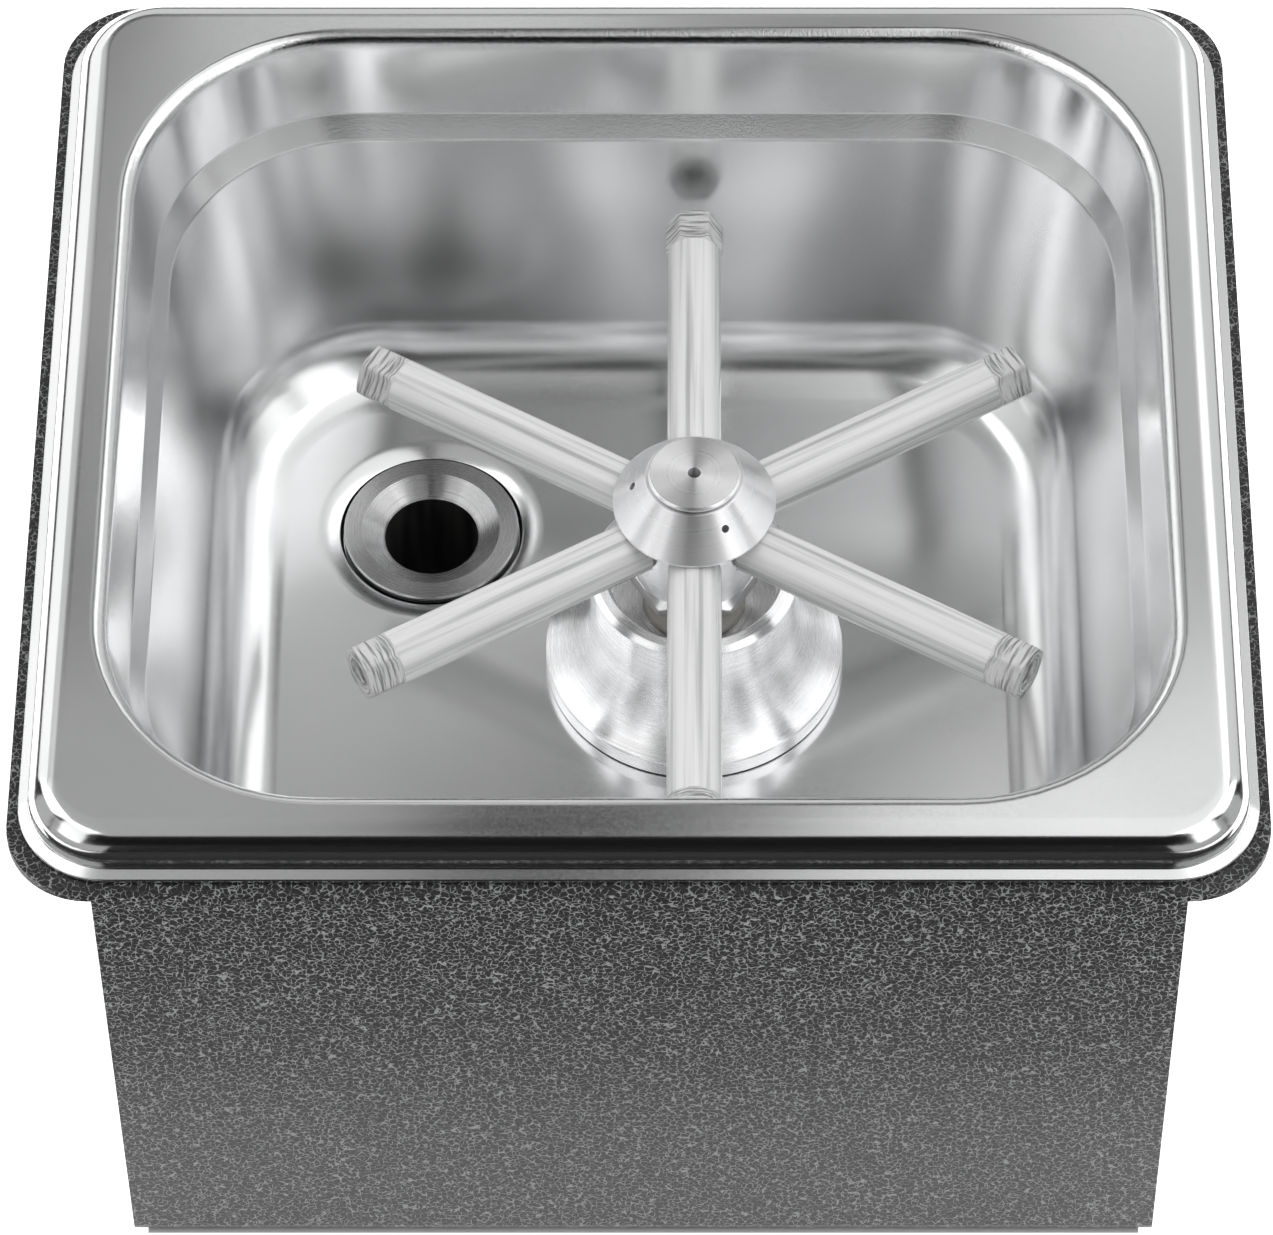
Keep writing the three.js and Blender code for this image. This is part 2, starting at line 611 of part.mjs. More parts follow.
// Return spring: a round wire carried along a helix.
function returnSpring() {
  const section = new THREE.Shape(Array.from({ length: SPRING_SIDES }, (_, k) => {
    const angle = (2 * Math.PI * k) / SPRING_SIDES;
    return new THREE.Vector2(SPRING_WIRE * Math.cos(angle), SPRING_WIRE * Math.sin(angle));
  }));
  const curve = new Helix();
  const steps = SPRING_TURNS * SPRING_STEPS;
  console.log(`return spring: least gap between turns ${leastGap(curve).toFixed(2)} mm`);
  return toSolid(new THREE.ExtrudeGeometry(section, { steps, extrudePath: curve }));
}

// Hose barb from its upper end down: each ridge is a shoulder above a taper.
function barb([thin, thick], low, ridge) {
  return [3, 2, 1].flatMap((k) => [[thick, low + ridge * k], [thin, low + ridge * (k - 1)]]);
}

// Inlet: a threaded spigot in the shank, a hexagon for the spanner and a hose barb with three ridges.
function inletFitting() {
  const hexTop = SHANK_END - 2 * GAP - INLET_WASHER_H;
  const hexLow = hexTop - INLET_HEX_H;
  const end = hexLow - INLET_TAIL;
  const spigot = CHAMBER_R - GAP;
  const neck = INLET_BARB[0] + GAP;
  const tail = turned([
    [0, INLET_SEAT], [spigot - EDGE, INLET_SEAT], [spigot, INLET_SEAT - EDGE], [spigot, hexTop - EDGE],
    [neck, hexTop - EDGE], [neck, end + EDGE + 3 * INLET_RIDGE],
    ...barb(INLET_BARB, end + EDGE, INLET_RIDGE), [INLET_BARB[0], end], [0, end],
  ], COARSE);
  const bore = rod(INLET_BORE, end - BEYOND, INLET_SEAT + BEYOND);
  return tail.add(hexNut(INLET_AF, 0, hexLow, hexTop)).subtract(bore);
}

// Cup washer between spring and stem: it moves up and down but doesn't turn with the star.
function springCap() {
  const under = CUP_TOP - CUP_SHEET;
  const lip = under - CUP_SHEET;
  const inner = STEM_SPIGOT_R + GAP;
  const lipR = SPRING_R - SPRING_WIRE - GAP;
  return turned([[inner, under], [lipR - EDGE / 2, under], [lipR - EDGE / 2, lip], [lipR, lip],
    [lipR, under], [CUP_R, under], [CUP_R, CUP_TOP], [inner, CUP_TOP]], MEDIUM, true);
}

// Barrel of the hub: hexagon at its foot, gallery above, six spot-faced sockets for the arms.
function hubBody() {
  const hex = hexNut(2 * HUB_R, 0, HUB_FOOT, HUB_FOOT + HEX_H);
  const hexTop = HUB_FOOT + HEX_H;
  const barrel = turned([[0, hexTop - EDGE], [HUB_R - EDGE, hexTop - EDGE], [HUB_R - EDGE, hexTop],
    [HUB_R, hexTop], [HUB_R, HUB_TOP], [0, HUB_TOP]], FINE);
  const galleryLow = HUB_TOP - GALLERY_DEPTH;
  const stemBore = rod(STEM_R + GAP, HUB_FOOT - BEYOND, galleryLow + EDGE, MEDIUM);
  const gallery = rod(GALLERY_R, galleryLow, HUB_TOP + BEYOND, MEDIUM);
  const socket = rod(ARM_SOCKET_R, ARM_ROOT - GAP, 2 * HUB_R)
    .add(rod(ARM_R + GAP, ARM_SEAT, 2 * HUB_R));
  let hub = barrel.add(hex).subtract(stemBore).subtract(gallery);
  for (let k = 0; k < ARMS; k += 1) hub = hub.subtract(placedArm(socket, k));
  return hub;
}

// Turns a piece drawn along +Z from the hub's axis into the place of arm k.
function placedArm(solid, k) {
  return solid.rotate([0, 90, 0]).rotate([0, 0, 30 + (360 / ARMS) * k]).translate([0, 0, ARM_Z]);
}

// Clear rod: threaded spigot, round body with chamfered end, hexagonal tip, bore from the tip.
function arm(k) {
  const root = ARM_SEAT + GAP;
  const tipStart = ARM_END - TIP_LENGTH;
  const corner = TIP_AF / Math.sqrt(3);
  const spigot = ARM_SOCKET_R - GAP;
  const body = turned([[0, ARM_ROOT], [spigot, ARM_ROOT], [spigot, root], [ARM_R - EDGE, root],
    [ARM_R, root + EDGE], [ARM_R, tipStart - EDGE], [0, tipStart - EDGE]], COARSE);
  const tipBlank = turned([[0, tipStart - 2 * EDGE], [ARM_R, tipStart - EDGE], [corner, tipStart],
    [corner, ARM_END - EDGE / 2], [corner - EDGE, ARM_END], [0, ARM_END]], COARSE);
  const tip = hexBar(TIP_AF, tipStart - 2 * EDGE, ARM_END).rotate([0, 0, 30]).intersect(tipBlank);
  const bore = rod(ARM_BORE, ARM_BORE_START, ARM_END + BEYOND, HOLE_SIDES)
    .add(rod(TIP_BORE, ARM_END - TIP_BORE_DEPTH, ARM_END + BEYOND));
  return placedArm(body.add(tip).subtract(bore), k);
}

// Cone with its threaded spigot, the gallery inside it and three spray holes square to the cone.
function sprayCap() {
  const low = HUB_TOP + GAP;
  const rim = low + GAP;
  const spigot = low - CAP_SPIGOT_H;
  const body = turned([[0, spigot], [CAP_SPIGOT_R, spigot], [CAP_SPIGOT_R, low], [CONE_R, low],
    [CONE_R, rim], [CONE_TOP_R, CONE_TOP], [0, CONE_TOP]], FINE);
  const throat = CAP_SPIGOT_R - CAP_WALL;
  const wide = throat + 2;
  const neck = NOZZLE_SPIGOT_R + GAP;
  const [step, bend, roof] = CAP_HOLLOW.map((height) => low + height);
  const hollow = turned([[0, spigot - BEYOND], [throat, spigot - BEYOND], [throat, step], [wide, step],
    [wide, bend], [neck, roof], [neck, CONE_TOP + BEYOND], [0, CONE_TOP + BEYOND]], COARSE);
  let cap = body.subtract(hollow);
  const slope = Math.atan2(CONE_TOP - rim, CONE_R - CONE_TOP_R);
  const exitZ = CONE_TOP - (SIDE_HOLE_AT - CONE_TOP_R) * Math.tan(slope);
  for (let k = 0; k < SIDE_HOLES; k += 1) {
    const hole = rod(SIDE_HOLE, -SIDE_HOLE_DEPTH, BEYOND, HOLE_SIDES)
      .rotate([0, THREE.MathUtils.radToDeg(slope), 0])
      .translate([SIDE_HOLE_AT, 0, exitZ])
      .rotate([0, 0, FIRST_SIDE_HOLE + (360 / SIDE_HOLES) * k]);
    cap = cap.subtract(hole);
  }
  return cap;
}

function centreNozzle() {
  const low = CONE_TOP + GAP;
  const end = low - NOZZLE_SPIGOT_R;
  return turned([[CENTRE_HOLE, end], [NOZZLE_SPIGOT_R, end], [NOZZLE_SPIGOT_R, low], [NOZZLE_R, low],
    [NOZZLE_R, NOZZLE_TOP - NOZZLE_BEVEL], [NOZZLE_R - NOZZLE_BEVEL, NOZZLE_TOP],
    [CENTRE_HOLE, NOZZLE_TOP]], MEDIUM, true);
}

// Drain: a flat ring, a bevel down to the hole, and a threaded tail through the pan.
function drainBody() {
  const under = DRAIN_TOP - DRAIN_FLANGE_H;
  const bevelLow = DRAIN_TOP - DRAIN_BEVEL_H;
  return turned([
    [DRAIN_HOLE_R, bevelLow], [DRAIN_HOLE_R + EDGE / 2, bevelLow + EDGE / 2], [DRAIN_BEVEL_R, DRAIN_TOP],
    [DRAIN_FLANGE_R - EDGE / 2, DRAIN_TOP], [DRAIN_FLANGE_R, DRAIN_TOP - EDGE / 2],
    [DRAIN_FLANGE_R, under], [DRAIN_TUBE_R, under], [DRAIN_TUBE_R, DRAIN_END + EDGE],
    [DRAIN_TUBE_R - EDGE, DRAIN_END], [DRAIN_HOLE_R, DRAIN_END],
  ], FINE, true);
}

// Hose tail screwed over the end of the drain: hexagonal cup, then a barb with three ridges.
function drainTail() {
  const [cupTop, cupLow] = TAIL_CUP.map((offset) => DRAIN_END + offset);
  const end = DRAIN_END - TAIL_LENGTH;
  const neck = TAIL_BARB[0] + GAP;
  const tube = turned([[0, cupLow + EDGE], [neck, cupLow + EDGE], [neck, end + EDGE + 3 * TAIL_RIDGE],
    ...barb(TAIL_BARB, end + EDGE, TAIL_RIDGE), [TAIL_BARB[0], end], [0, end]], COARSE);
  const cup = hexNut(TAIL_AF, 0, cupLow, cupTop);
  const socket = rod(DRAIN_TUBE_R + GAP, DRAIN_END - GAP, cupTop + BEYOND, MEDIUM);
  const bore = rod(TAIL_BORE, end - BEYOND, DRAIN_END);
  return cup.add(tube).subtract(socket).subtract(bore);
}

const group = new THREE.Group();

function addPiece(name, solid, finish, x = 0, y = 0) {
  const mesh = new THREE.Mesh(toGeometry(solid), new THREE.MeshStandardMaterial(finish));
  mesh.name = name;
  mesh.position.set(x, y, 0);
  group.add(mesh);
}

function addHousing() {
  addPiece('housing_wrap', housingWrap(), VEINED);
  addPiece('housing_side_left', housingSide(-1), VEINED);
  addPiece('housing_side_right', housingSide(1), VEINED);
}

// Nut, metal washer and sealing washer stacked under a clamped face, tight to each other but for the gap.
function addClamp(prefix, tube, washerR, acrossFlats, under, x, y) {
  const bore = tube + GAP;
  const seal = under - GAP;
  const washer = seal - SEAL_H - GAP;
  const nut = washer - WASHER_H - GAP;
  addPiece(`${prefix}_seal_washer`, sleeve(bore, washerR, seal - SEAL_H, seal), RUBBER, x, y);
  addPiece(`${prefix}_washer`, sleeve(bore, washerR, washer - WASHER_H, washer), STAINLESS, x, y);
  addPiece(`${prefix}_locknut`, hexNut(acrossFlats, bore, nut - NUT_H, nut), TURNED, x, y);
}

function addValve() {
  const foot = FLOOR_Z + GAP;
  const ring = (STEM_R + GUIDE_R) / 2 + GAP / 2;
  const gasket = sleeve(SHANK_R + 2 * GAP, BELL_FOOT_R - FOOT_RIM - GAP, foot, foot + FOOT_HOLLOW - GAP);
  addPiece('valve_base', valveBase(), TURNED, VALVE_X, VALVE_Y);
  addPiece('base_gasket', gasket, RUBBER, VALVE_X, VALVE_Y);
  addClamp('shank', SHANK_R, SHANK_WASHER_R, SHANK_NUT_AF, FLOOR_Z - PAN_SHEET, VALVE_X, VALVE_Y);
  addPiece('guide_bush', guideBush(), ACETAL, VALVE_X, VALVE_Y);
  const ringZ = SEAT_Z + SEAT_LIP + GAP + RING_SECTION / 2;
  addPiece('stem_oring', roundRing(ring, RING_SECTION, ringZ), RUBBER, VALVE_X, VALVE_Y);
  const washerTop = SHANK_END - GAP;
  const washer = sleeve(CHAMBER_R, SHANK_R - EDGE, washerTop - INLET_WASHER_H, washerTop);
  addPiece('inlet_washer', washer, RUBBER, VALVE_X, VALVE_Y);
  addPiece('inlet_fitting', inletFitting(), TURNED, VALVE_X, VALVE_Y);
  addPiece('return_spring', returnSpring(), SPRING, VALVE_X, VALVE_Y);
  addPiece('spring_cap', springCap(), STAINLESS, VALVE_X, VALVE_Y);
}

function addStar() {
  const seal = sleeve(STEM_R + GAP, CHAMBER_R - 1.2, SEAT_Z - GAP - STEM_SEAL_H, SEAT_Z - GAP);
  addPiece('stem', stem(), TURNED, VALVE_X, VALVE_Y);
  addPiece('seat_seal', seal, RUBBER, VALVE_X, VALVE_Y);
  addPiece('hub_body', hubBody(), TURNED, VALVE_X, VALVE_Y);
  addPiece('spray_cap', sprayCap(), TURNED, VALVE_X, VALVE_Y);
  addPiece('centre_nozzle', centreNozzle(), TURNED, VALVE_X, VALVE_Y);
  for (let k = 0; k < ARMS; k += 1) addPiece(`arm_${k + 1}`, arm(k), CLEAR, VALVE_X, VALVE_Y);
}

function addDrain() {
  const dish = FLOOR_Z - DISH_DEPTH;
  const gasket = sleeve(DRAIN_TUBE_R + GAP, DRAIN_FLANGE_R - EDGE, dish + GAP, dish + GAP + DRAIN_GASKET_H);
  addPiece('drain_body', drainBody(), TURNED, DRAIN_X, DRAIN_Y);
  addPiece('drain_gasket', gasket, RUBBER, DRAIN_X, DRAIN_Y);
  addClamp('drain', DRAIN_TUBE_R, DRAIN_WASHER_R, DRAIN_NUT_AF, dish - PAN_SHEET, DRAIN_X, DRAIN_Y);
  addPiece('drain_tail', drainTail(), TURNED, DRAIN_X, DRAIN_Y);
}

addHousing();
addPiece('pan', pan(), STAINLESS);
addValve();
addStar();
addDrain();

export default group;
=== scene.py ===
import math

import bmesh
import bpy
import numpy as np
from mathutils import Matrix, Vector


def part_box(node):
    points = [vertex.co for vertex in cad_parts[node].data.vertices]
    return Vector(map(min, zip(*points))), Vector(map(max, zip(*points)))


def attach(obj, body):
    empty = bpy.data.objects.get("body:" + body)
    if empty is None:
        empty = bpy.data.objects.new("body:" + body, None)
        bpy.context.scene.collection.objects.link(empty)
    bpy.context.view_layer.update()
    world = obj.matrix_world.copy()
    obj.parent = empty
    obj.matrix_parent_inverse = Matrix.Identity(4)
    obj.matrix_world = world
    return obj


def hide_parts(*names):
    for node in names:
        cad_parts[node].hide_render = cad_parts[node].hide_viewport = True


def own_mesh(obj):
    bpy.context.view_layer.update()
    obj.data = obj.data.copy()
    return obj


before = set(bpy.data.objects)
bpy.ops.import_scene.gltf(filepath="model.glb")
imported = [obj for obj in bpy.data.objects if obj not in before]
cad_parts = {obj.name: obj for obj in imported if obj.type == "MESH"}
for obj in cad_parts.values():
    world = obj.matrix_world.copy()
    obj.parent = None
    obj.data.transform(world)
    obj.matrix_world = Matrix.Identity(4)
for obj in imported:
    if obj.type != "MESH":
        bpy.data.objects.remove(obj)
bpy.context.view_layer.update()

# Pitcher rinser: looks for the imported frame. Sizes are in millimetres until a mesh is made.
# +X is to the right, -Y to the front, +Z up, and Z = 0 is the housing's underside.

MM = 0.001

PAN_BODY = "pan_unit"
CARRIER = "press_carrier"
STAR_BODY = "spray_head"


def corners(node):
    """Lowest and highest corner of a node of the frame, in millimetres."""
    low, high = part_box(node)
    return np.array(low) / MM, np.array(high) / MM


def axis_of(node):
    """Where a turned node's axis crosses the XY plane."""
    low, high = corners(node)
    return (low[:2] + high[:2]) / 2


# Sizes read from the frame
PAN_HIGH = corners("pan")[1]
BASE_LOW, BASE_HIGH = corners("valve_base")
HUB_LOW, HUB_HIGH = corners("hub_body")
CAP_HIGH = corners("spray_cap")[1]
NOZZLE_HIGH = corners("centre_nozzle")[1]
DRAIN_LOW, DRAIN_HIGH = corners("drain_body")
STEM_HIGH = corners("stem")[1]
INLET_LOW, INLET_HIGH = corners("inlet_fitting")
TAIL_LOW, TAIL_HIGH = corners("drain_tail")
SPRING_LOW, SPRING_HIGH = corners("return_spring")
VALVE = axis_of("valve_base")
DRAIN = axis_of("drain_body")

# Running gap between pieces, size of a broken edge, and pitch of the shank's and drain's threads
GAP = 0.3
BROKEN = 0.15
THREAD_PITCH = 1.5

# Pan
RIM_Z = PAN_HIGH[2]
LIP_Z = RIM_Z - 7
FLOOR_Z = LIP_Z - 60
LEDGE_Z = LIP_Z - 8
SHEET = 0.8
LIP_HALF = PAN_HIGH[0]
RIM_WALL = LIP_HALF - 1.6
VALVE_HOLE_R = 11.3
DRAIN_HOLE_R = 9.9
SEAT_R = 14.1
SEAT_DEPTH = 2.4
SLOPE_R = 18
SLOPE_DEPTH = 0.9

# Valve base, drain tube and stem
SEAT_Z = FLOOR_Z + 5.5
RECESS_Z = FLOOR_Z + 15
NECK_R = 15.9
FOOT_R = 23
SHANK_R = 11
GUIDE_R = 6
TUBE_R = 9.6
STEM_R = 4
STEM_PIN_R = 3

# Star
ARM_Z = LIP_Z - 24.5
ARM_R = 4.1
ARM_END = 57.5
ARM_SEAT = 9.0
ARM_ROOT = 6.9
SOCKET_R = 2.6
TIP_AF = 7.9
TIP_LENGTH = 5.2


def rounded(outline, arc_steps=5, closed=True):
    """Outline with its corners rounded. Each corner is (radius, height, fillet, extras...); it becomes an arc
    of the fillet's radius, tangent to the lines before and after it, sampled at equal angles. Extras run
    linearly from corner to corner, along the lines and the arcs alike."""
    table = np.array([tuple(c) + (0,) * (3 - len(c)) for c in outline], float)
    corner, fillet, extras = table[:, :2], table[:, 2], table[:, 3:]
    before, after = np.roll(table, 1, axis=0), np.roll(table, -1, axis=0)
    into, away = corner - before[:, :2], after[:, :2] - corner
    len_in, len_out = np.hypot(*into.T), np.hypot(*away.T)
    into, away = into / len_in[:, None], away / len_out[:, None]
    if not closed:
        fillet = fillet.copy()
        fillet[[0, -1]] = 0
    turn = np.arctan2(into[:, 0] * away[:, 1] - into[:, 1] * away[:, 0], (into * away).sum(1))
    run = fillet * np.tan(np.abs(turn) / 2)
    side = np.stack([-into[:, 1], into[:, 0]], 1) * (np.sign(turn) * fillet)[:, None]
    start = corner - into * run[:, None]
    share = np.linspace(0, 1, arc_steps + 1)
    angle = turn[:, None] * share
    spoke = -side
    x = spoke[:, :1] * np.cos(angle) - spoke[:, 1:] * np.sin(angle)
    y = spoke[:, :1] * np.sin(angle) + spoke[:, 1:] * np.cos(angle)
    flat = (fillet == 0)[:, None]
    points = np.stack([np.where(flat, corner[:, :1], x + (start + side)[:, :1]),
                       np.where(flat, corner[:, 1:], y + (start + side)[:, 1:])], -1)
    back = (run / len_in)[:, None] * np.maximum(0, 1 - 2 * share)
    ahead = (run / len_out)[:, None] * np.maximum(0, 2 * share - 1)
    mixed = (extras[:, None] * (1 - back - ahead)[..., None] + before[:, None, 3:] * back[..., None]
             + after[:, None, 3:] * ahead[..., None])
    path = np.concatenate([points, mixed], -1).reshape(-1, table.shape[1] - 1)
    step = np.abs(np.diff(path, axis=0)).max(1)
    return path[np.concatenate([[True], step > 1e-5])]


def grid_faces(rows, columns, wrap_rows, wrap_columns):
    """Four-cornered faces of a grid of points, row by row, with their cells' (row, column)."""
    i, j = np.meshgrid(np.arange(rows if wrap_rows else rows - 1),
                       np.arange(columns if wrap_columns else columns - 1), indexing="ij")
    i, j = i.ravel(), j.ravel()
    i2, j2 = (i + 1) % rows, (j + 1) % columns
    faces = np.stack([i * columns + j, i * columns + j2, i2 * columns + j2, i2 * columns + j], 1)
    return faces, np.stack([i, j], 1)


def outward(points, faces):
    """The same faces, turned so that the enclosed volume is positive."""
    a, b, c, d = (points[faces[:, k]] for k in range(4))
    volume = (a * np.cross(b, c)).sum() + (a * np.cross(c, d)).sum()
    return (faces, False) if volume > 0 else (faces[:, ::-1], True)


def surface_mesh(name, grid, wrap_rows=True, wrap_columns=True):
    """Mesh of a grid of points (rows, columns, 3) in millimetres. In its UV map u goes once round the columns
    and v is the mean distance from the first row in millimetres, so that a finish can follow the tool."""
    rows, columns = grid.shape[:2]
    points = grid.reshape(-1, 3)
    faces, cells = grid_faces(rows, columns, wrap_rows, wrap_columns)
    faces, flipped = outward(points, faces)
    order = [3, 2, 1, 0] if flipped else [0, 1, 2, 3]
    step = np.linalg.norm(np.roll(grid, -1, axis=0) - grid, axis=-1).mean(1)
    run = np.concatenate([[0], np.cumsum(step)])
    u = (cells[:, 1:] + np.array([0, 1, 1, 0])[order]) / columns
    v = run[cells[:, :1] + np.array([0, 0, 1, 1])[order]]
    mesh = bpy.data.meshes.new(name)
    mesh.from_pydata((points * MM).tolist(), [], faces.tolist())
    uv = mesh.uv_layers.new(name="turning")
    uv.data.foreach_set("uv", np.stack([u, v], -1).astype(np.float32).ravel())
    mesh.polygons.foreach_set("use_smooth", np.ones(len(mesh.polygons), bool))
    return mesh


def weld(mesh, distance=2e-7):
    """Joins points that fall together, which closes poles and ends of zero width."""
    work = bmesh.new()
    work.from_mesh(mesh)
    bmesh.ops.remove_doubles(work, verts=work.verts, dist=distance)
    bmesh.ops.dissolve_degenerate(work, edges=work.edges, dist=distance)
    work.to_mesh(mesh)
    work.free()


def add_piece(name, mesh, body, finish, replaced):
    """Puts a finished mesh into the scene as a piece that rides on a body and stands for the replaced nodes.
    Edges that turn by more than the sharp angle stay sharp, and all others are shaded evenly."""
    sharp_angle = 40
    weld(mesh)
    mesh.set_sharp_from_angle(angle=math.radians(sharp_angle))
    piece = bpy.data.objects.new(name, mesh)
    bpy.context.scene.collection.objects.link(piece)
    mesh.materials.append(finish)
    shading = piece.modifiers.new("even_shading", "WEIGHTED_NORMAL")
    shading.keep_sharp = True
    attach(piece, body)
    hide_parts(*replaced)
    return piece


def cut(mesh, cutter_meshes):
    """The mesh less the cutters, worked out exactly."""
    body = bpy.data.objects.new("blank", mesh)
    group = bpy.data.collections.new("cutters")
    tools = [bpy.data.objects.new("cutter", m) for m in cutter_meshes]
    bpy.context.scene.collection.objects.link(body)
    for tool in tools:
        bpy.context.scene.collection.objects.link(tool)
        group.objects.link(tool)
    boolean = body.modifiers.new("cut", "BOOLEAN")
    boolean.operation = "DIFFERENCE"
    boolean.solver = "EXACT"
    boolean.operand_type = "COLLECTION"
    boolean.collection = group
    graph = bpy.context.evaluated_depsgraph_get()
    result = bpy.data.meshes.new_from_object(body.evaluated_get(graph))
    result.name = mesh.name
    result.materials.clear()
    for item in [body, *tools]:
        bpy.data.objects.remove(item)
    bpy.data.collections.remove(group)
    return result


def points_of(mesh):
    """The mesh's points as X, Y and Z in millimetres."""
    co = np.empty(len(mesh.vertices) * 3)
    mesh.vertices.foreach_get("co", co)
    return co.reshape(-1, 3).T / MM


def second_finish(mesh, finish, chosen):
    """Gives the finish to every face whose points are all chosen."""
    mesh.materials.append(finish)
    point = np.empty(len(mesh.loops), np.int32)
    first = np.empty(len(mesh.polygons), np.int32)
    mesh.loops.foreach_get("vertex_index", point)
    mesh.polygons.foreach_get("loop_start", first)
    inside = np.minimum.reduceat(chosen[point].astype(np.int32), first)
    mesh.polygons.foreach_set("material_index", inside)


def placed(mesh, tilt=0.0, spin=0.0, at=(0, 0, 0)):
    """Tilts a mesh about Y, then turns it about Z, then moves it by a vector in millimetres."""
    points = points_of(mesh).T
    ct, st, cs, ss = math.cos(tilt), math.sin(tilt), math.cos(spin), math.sin(spin)
    about_y = np.array([[ct, 0, st], [0, 1, 0], [-st, 0, ct]])
    about_z = np.array([[cs, -ss, 0], [ss, cs, 0], [0, 0, 1]])
    points = points @ (about_z @ about_y).T + np.array(at)
    mesh.vertices.foreach_set("co", (points * MM).ravel())
    mesh.update()
    return mesh


def around(steps):
    """Equal angles round a full turn."""
    return 2 * np.pi * np.arange(steps) / steps


def revolve(r, z, centre=(0, 0), steps=96):
    """Grid of a turned form: x = cx + r cos(a), y = cy + r sin(a), with r and z given for each row and,
    where the form isn't round, for each angle a as well."""
    a = around(steps)[None]
    r, z = (np.broadcast_to(v if v.ndim == 2 else v[:, None], (len(v), steps)) for v in (r, z))
    return np.stack([centre[0] + r * np.cos(a), centre[1] + r * np.sin(a), z], -1)


def turned_mesh(name, outline, centre=(0, 0), steps=96, arc_steps=5):
    """Round piece from a closed outline of (radius, height, fillet) corners."""
    path = rounded(outline, arc_steps)
    return surface_mesh(name, revolve(path[:, 0], path[:, 1], centre, steps))


def sleeve(inner, outer, low, high, edge):
    """Outline of a ring between two radii and two heights, with its outer edges rounded."""
    return [(inner, low, edge / 2), (outer, low, edge), (outer, high, edge), (inner, high, edge / 2)]


def bore_cutter(radius, low, high, steps=32):
    """Cylinder along +Z about the origin, for cutting holes."""
    mesh = turned_mesh("bore", sleeve(0, radius, low, high, 0), steps=steps)
    weld(mesh)
    return mesh


def hexagon(across_flats, a, turned_by=math.pi / 6, edge=0.12):
    """Radius of a hexagon at angle a: half its width over the cosine of the angle from the flat's middle,
    with the corner's tip eased off by a small round."""
    off = (a - turned_by + math.pi / 6) % (math.pi / 3) - math.pi / 6
    radius = across_flats / 2 / np.cos(off)
    return np.minimum(radius, across_flats / math.sqrt(3) - edge)


def hex_rows(across_flats, low, high, a):
    """Rows of a chamfered hexagon from its lower face to its upper. The 30 degree chamfer's edge on each flat
    is where the hexagon meets the cone z = high - (r - land) tan 30."""
    land = across_flats / 2 - 0.2
    radius = hexagon(across_flats, a)
    fall = np.maximum(0, radius - land) * math.tan(math.pi / 6)
    inner = np.minimum(radius, land)
    return [(inner, low + 0 * a), (radius, low + fall), (radius, high - fall), (inner, high + 0 * a)]


def stack(rows, steps):
    """Rows of (radius, height), each a number or an array over the angles, as two arrays."""
    r = np.array([np.broadcast_to(row[0], steps) for row in rows], float)
    z = np.array([np.broadcast_to(row[1], steps) for row in rows], float)
    return r, z


def thread_rows(radius, depth, pitch, low, high, a, per_turn=8):
    """Rows of a screw thread: the radius falls by depth times a rounded triangle wave of
    (height / pitch - angle / turn), which fades out over half a pitch at either end."""
    z = np.linspace(low, high, max(4, int((high - low) / pitch * per_turn)))[:, None]
    phase = (z / pitch - a[None] / (2 * np.pi)) % 1
    wave = np.clip(np.abs(2 * phase - 1) * 1.25 - 0.1, 0, 1)
    fade = np.clip(np.minimum(z - low, high - z) / (pitch / 2), 0, 1)
    return [(radius - depth * w * f, h[0] + 0 * a) for w, f, h in zip(wave, fade, z)]


def barb_rows(thin, thick, low, ridge, count=3):
    """Rows of a hose barb from its upper end down: shoulder, then taper, once for each ridge."""
    rows = []
    for k in range(count, 0, -1):
        rows += [(thin, low + ridge * k + 0.02), (thick - 0.12, low + ridge * k),
                 (thick, low + ridge * k - 0.15), (thin + 0.05, low + ridge * (k - 1) + 0.1)]
    return rows


# Colours and nodes

def colour(hex_value):
    """sRGB hex, such as '#8a8a8a', to a linear colour with full alpha."""
    channel = np.array([int(hex_value[k:k + 2], 16) for k in (1, 3, 5)]) / 255
    low, high = channel / 12.92, ((channel + 0.055) / 1.055) ** 2.4
    return (*np.where(channel <= 0.04045, low, high), 1.0)


def node(tree, kind, settings=None, **inputs):
    """Adds a shader node. Settings are its own properties, and stops are a ramp's (position, colour) pairs;
    inputs are sockets by name, with spaces as underscores, or in0, in1 by number, and take a value or
    another node's output."""
    made = tree.nodes.new("ShaderNode" + kind)
    for key, value in (settings or {}).items():
        if key == "stops":
            stops = made.color_ramp.elements
            stops[0].position, stops[1].position = value[0][0], value[-1][0]
            for position, _ in value[1:-1]:
                stops.new(position)
            for stop, (_, shade) in zip(stops, value):
                stop.color = shade
        else:
            setattr(made, key, value)
    for key, value in inputs.items():
        numbered = key.startswith("in") and key[2:].isdigit()
        socket = made.inputs[int(key[2:])] if numbered else made.inputs[key.replace("_", " ")]
        if isinstance(value, bpy.types.NodeSocket):
            tree.links.new(value, socket)
        else:
            socket.default_value = value
    return made


def new_material(name, **shader_values):
    """Material with a Principled shader whose steady values are set on its own sockets."""
    material = bpy.data.materials.new(name)
    material.use_nodes = True
    shader = material.node_tree.nodes["Principled BSDF"]
    for key, value in shader_values.items():
        shader.inputs[key.replace("_", " ")].default_value = value
    return material, material.node_tree, shader


def wire(tree, shader, **outputs):
    """Links outputs to the shader's sockets by name, with spaces as underscores."""
    for key, output in outputs.items():
        tree.links.new(output, shader.inputs[key.replace("_", " ")])


def grey(value):
    """Grey of a linear value."""
    return (value, value, value, 1.0)


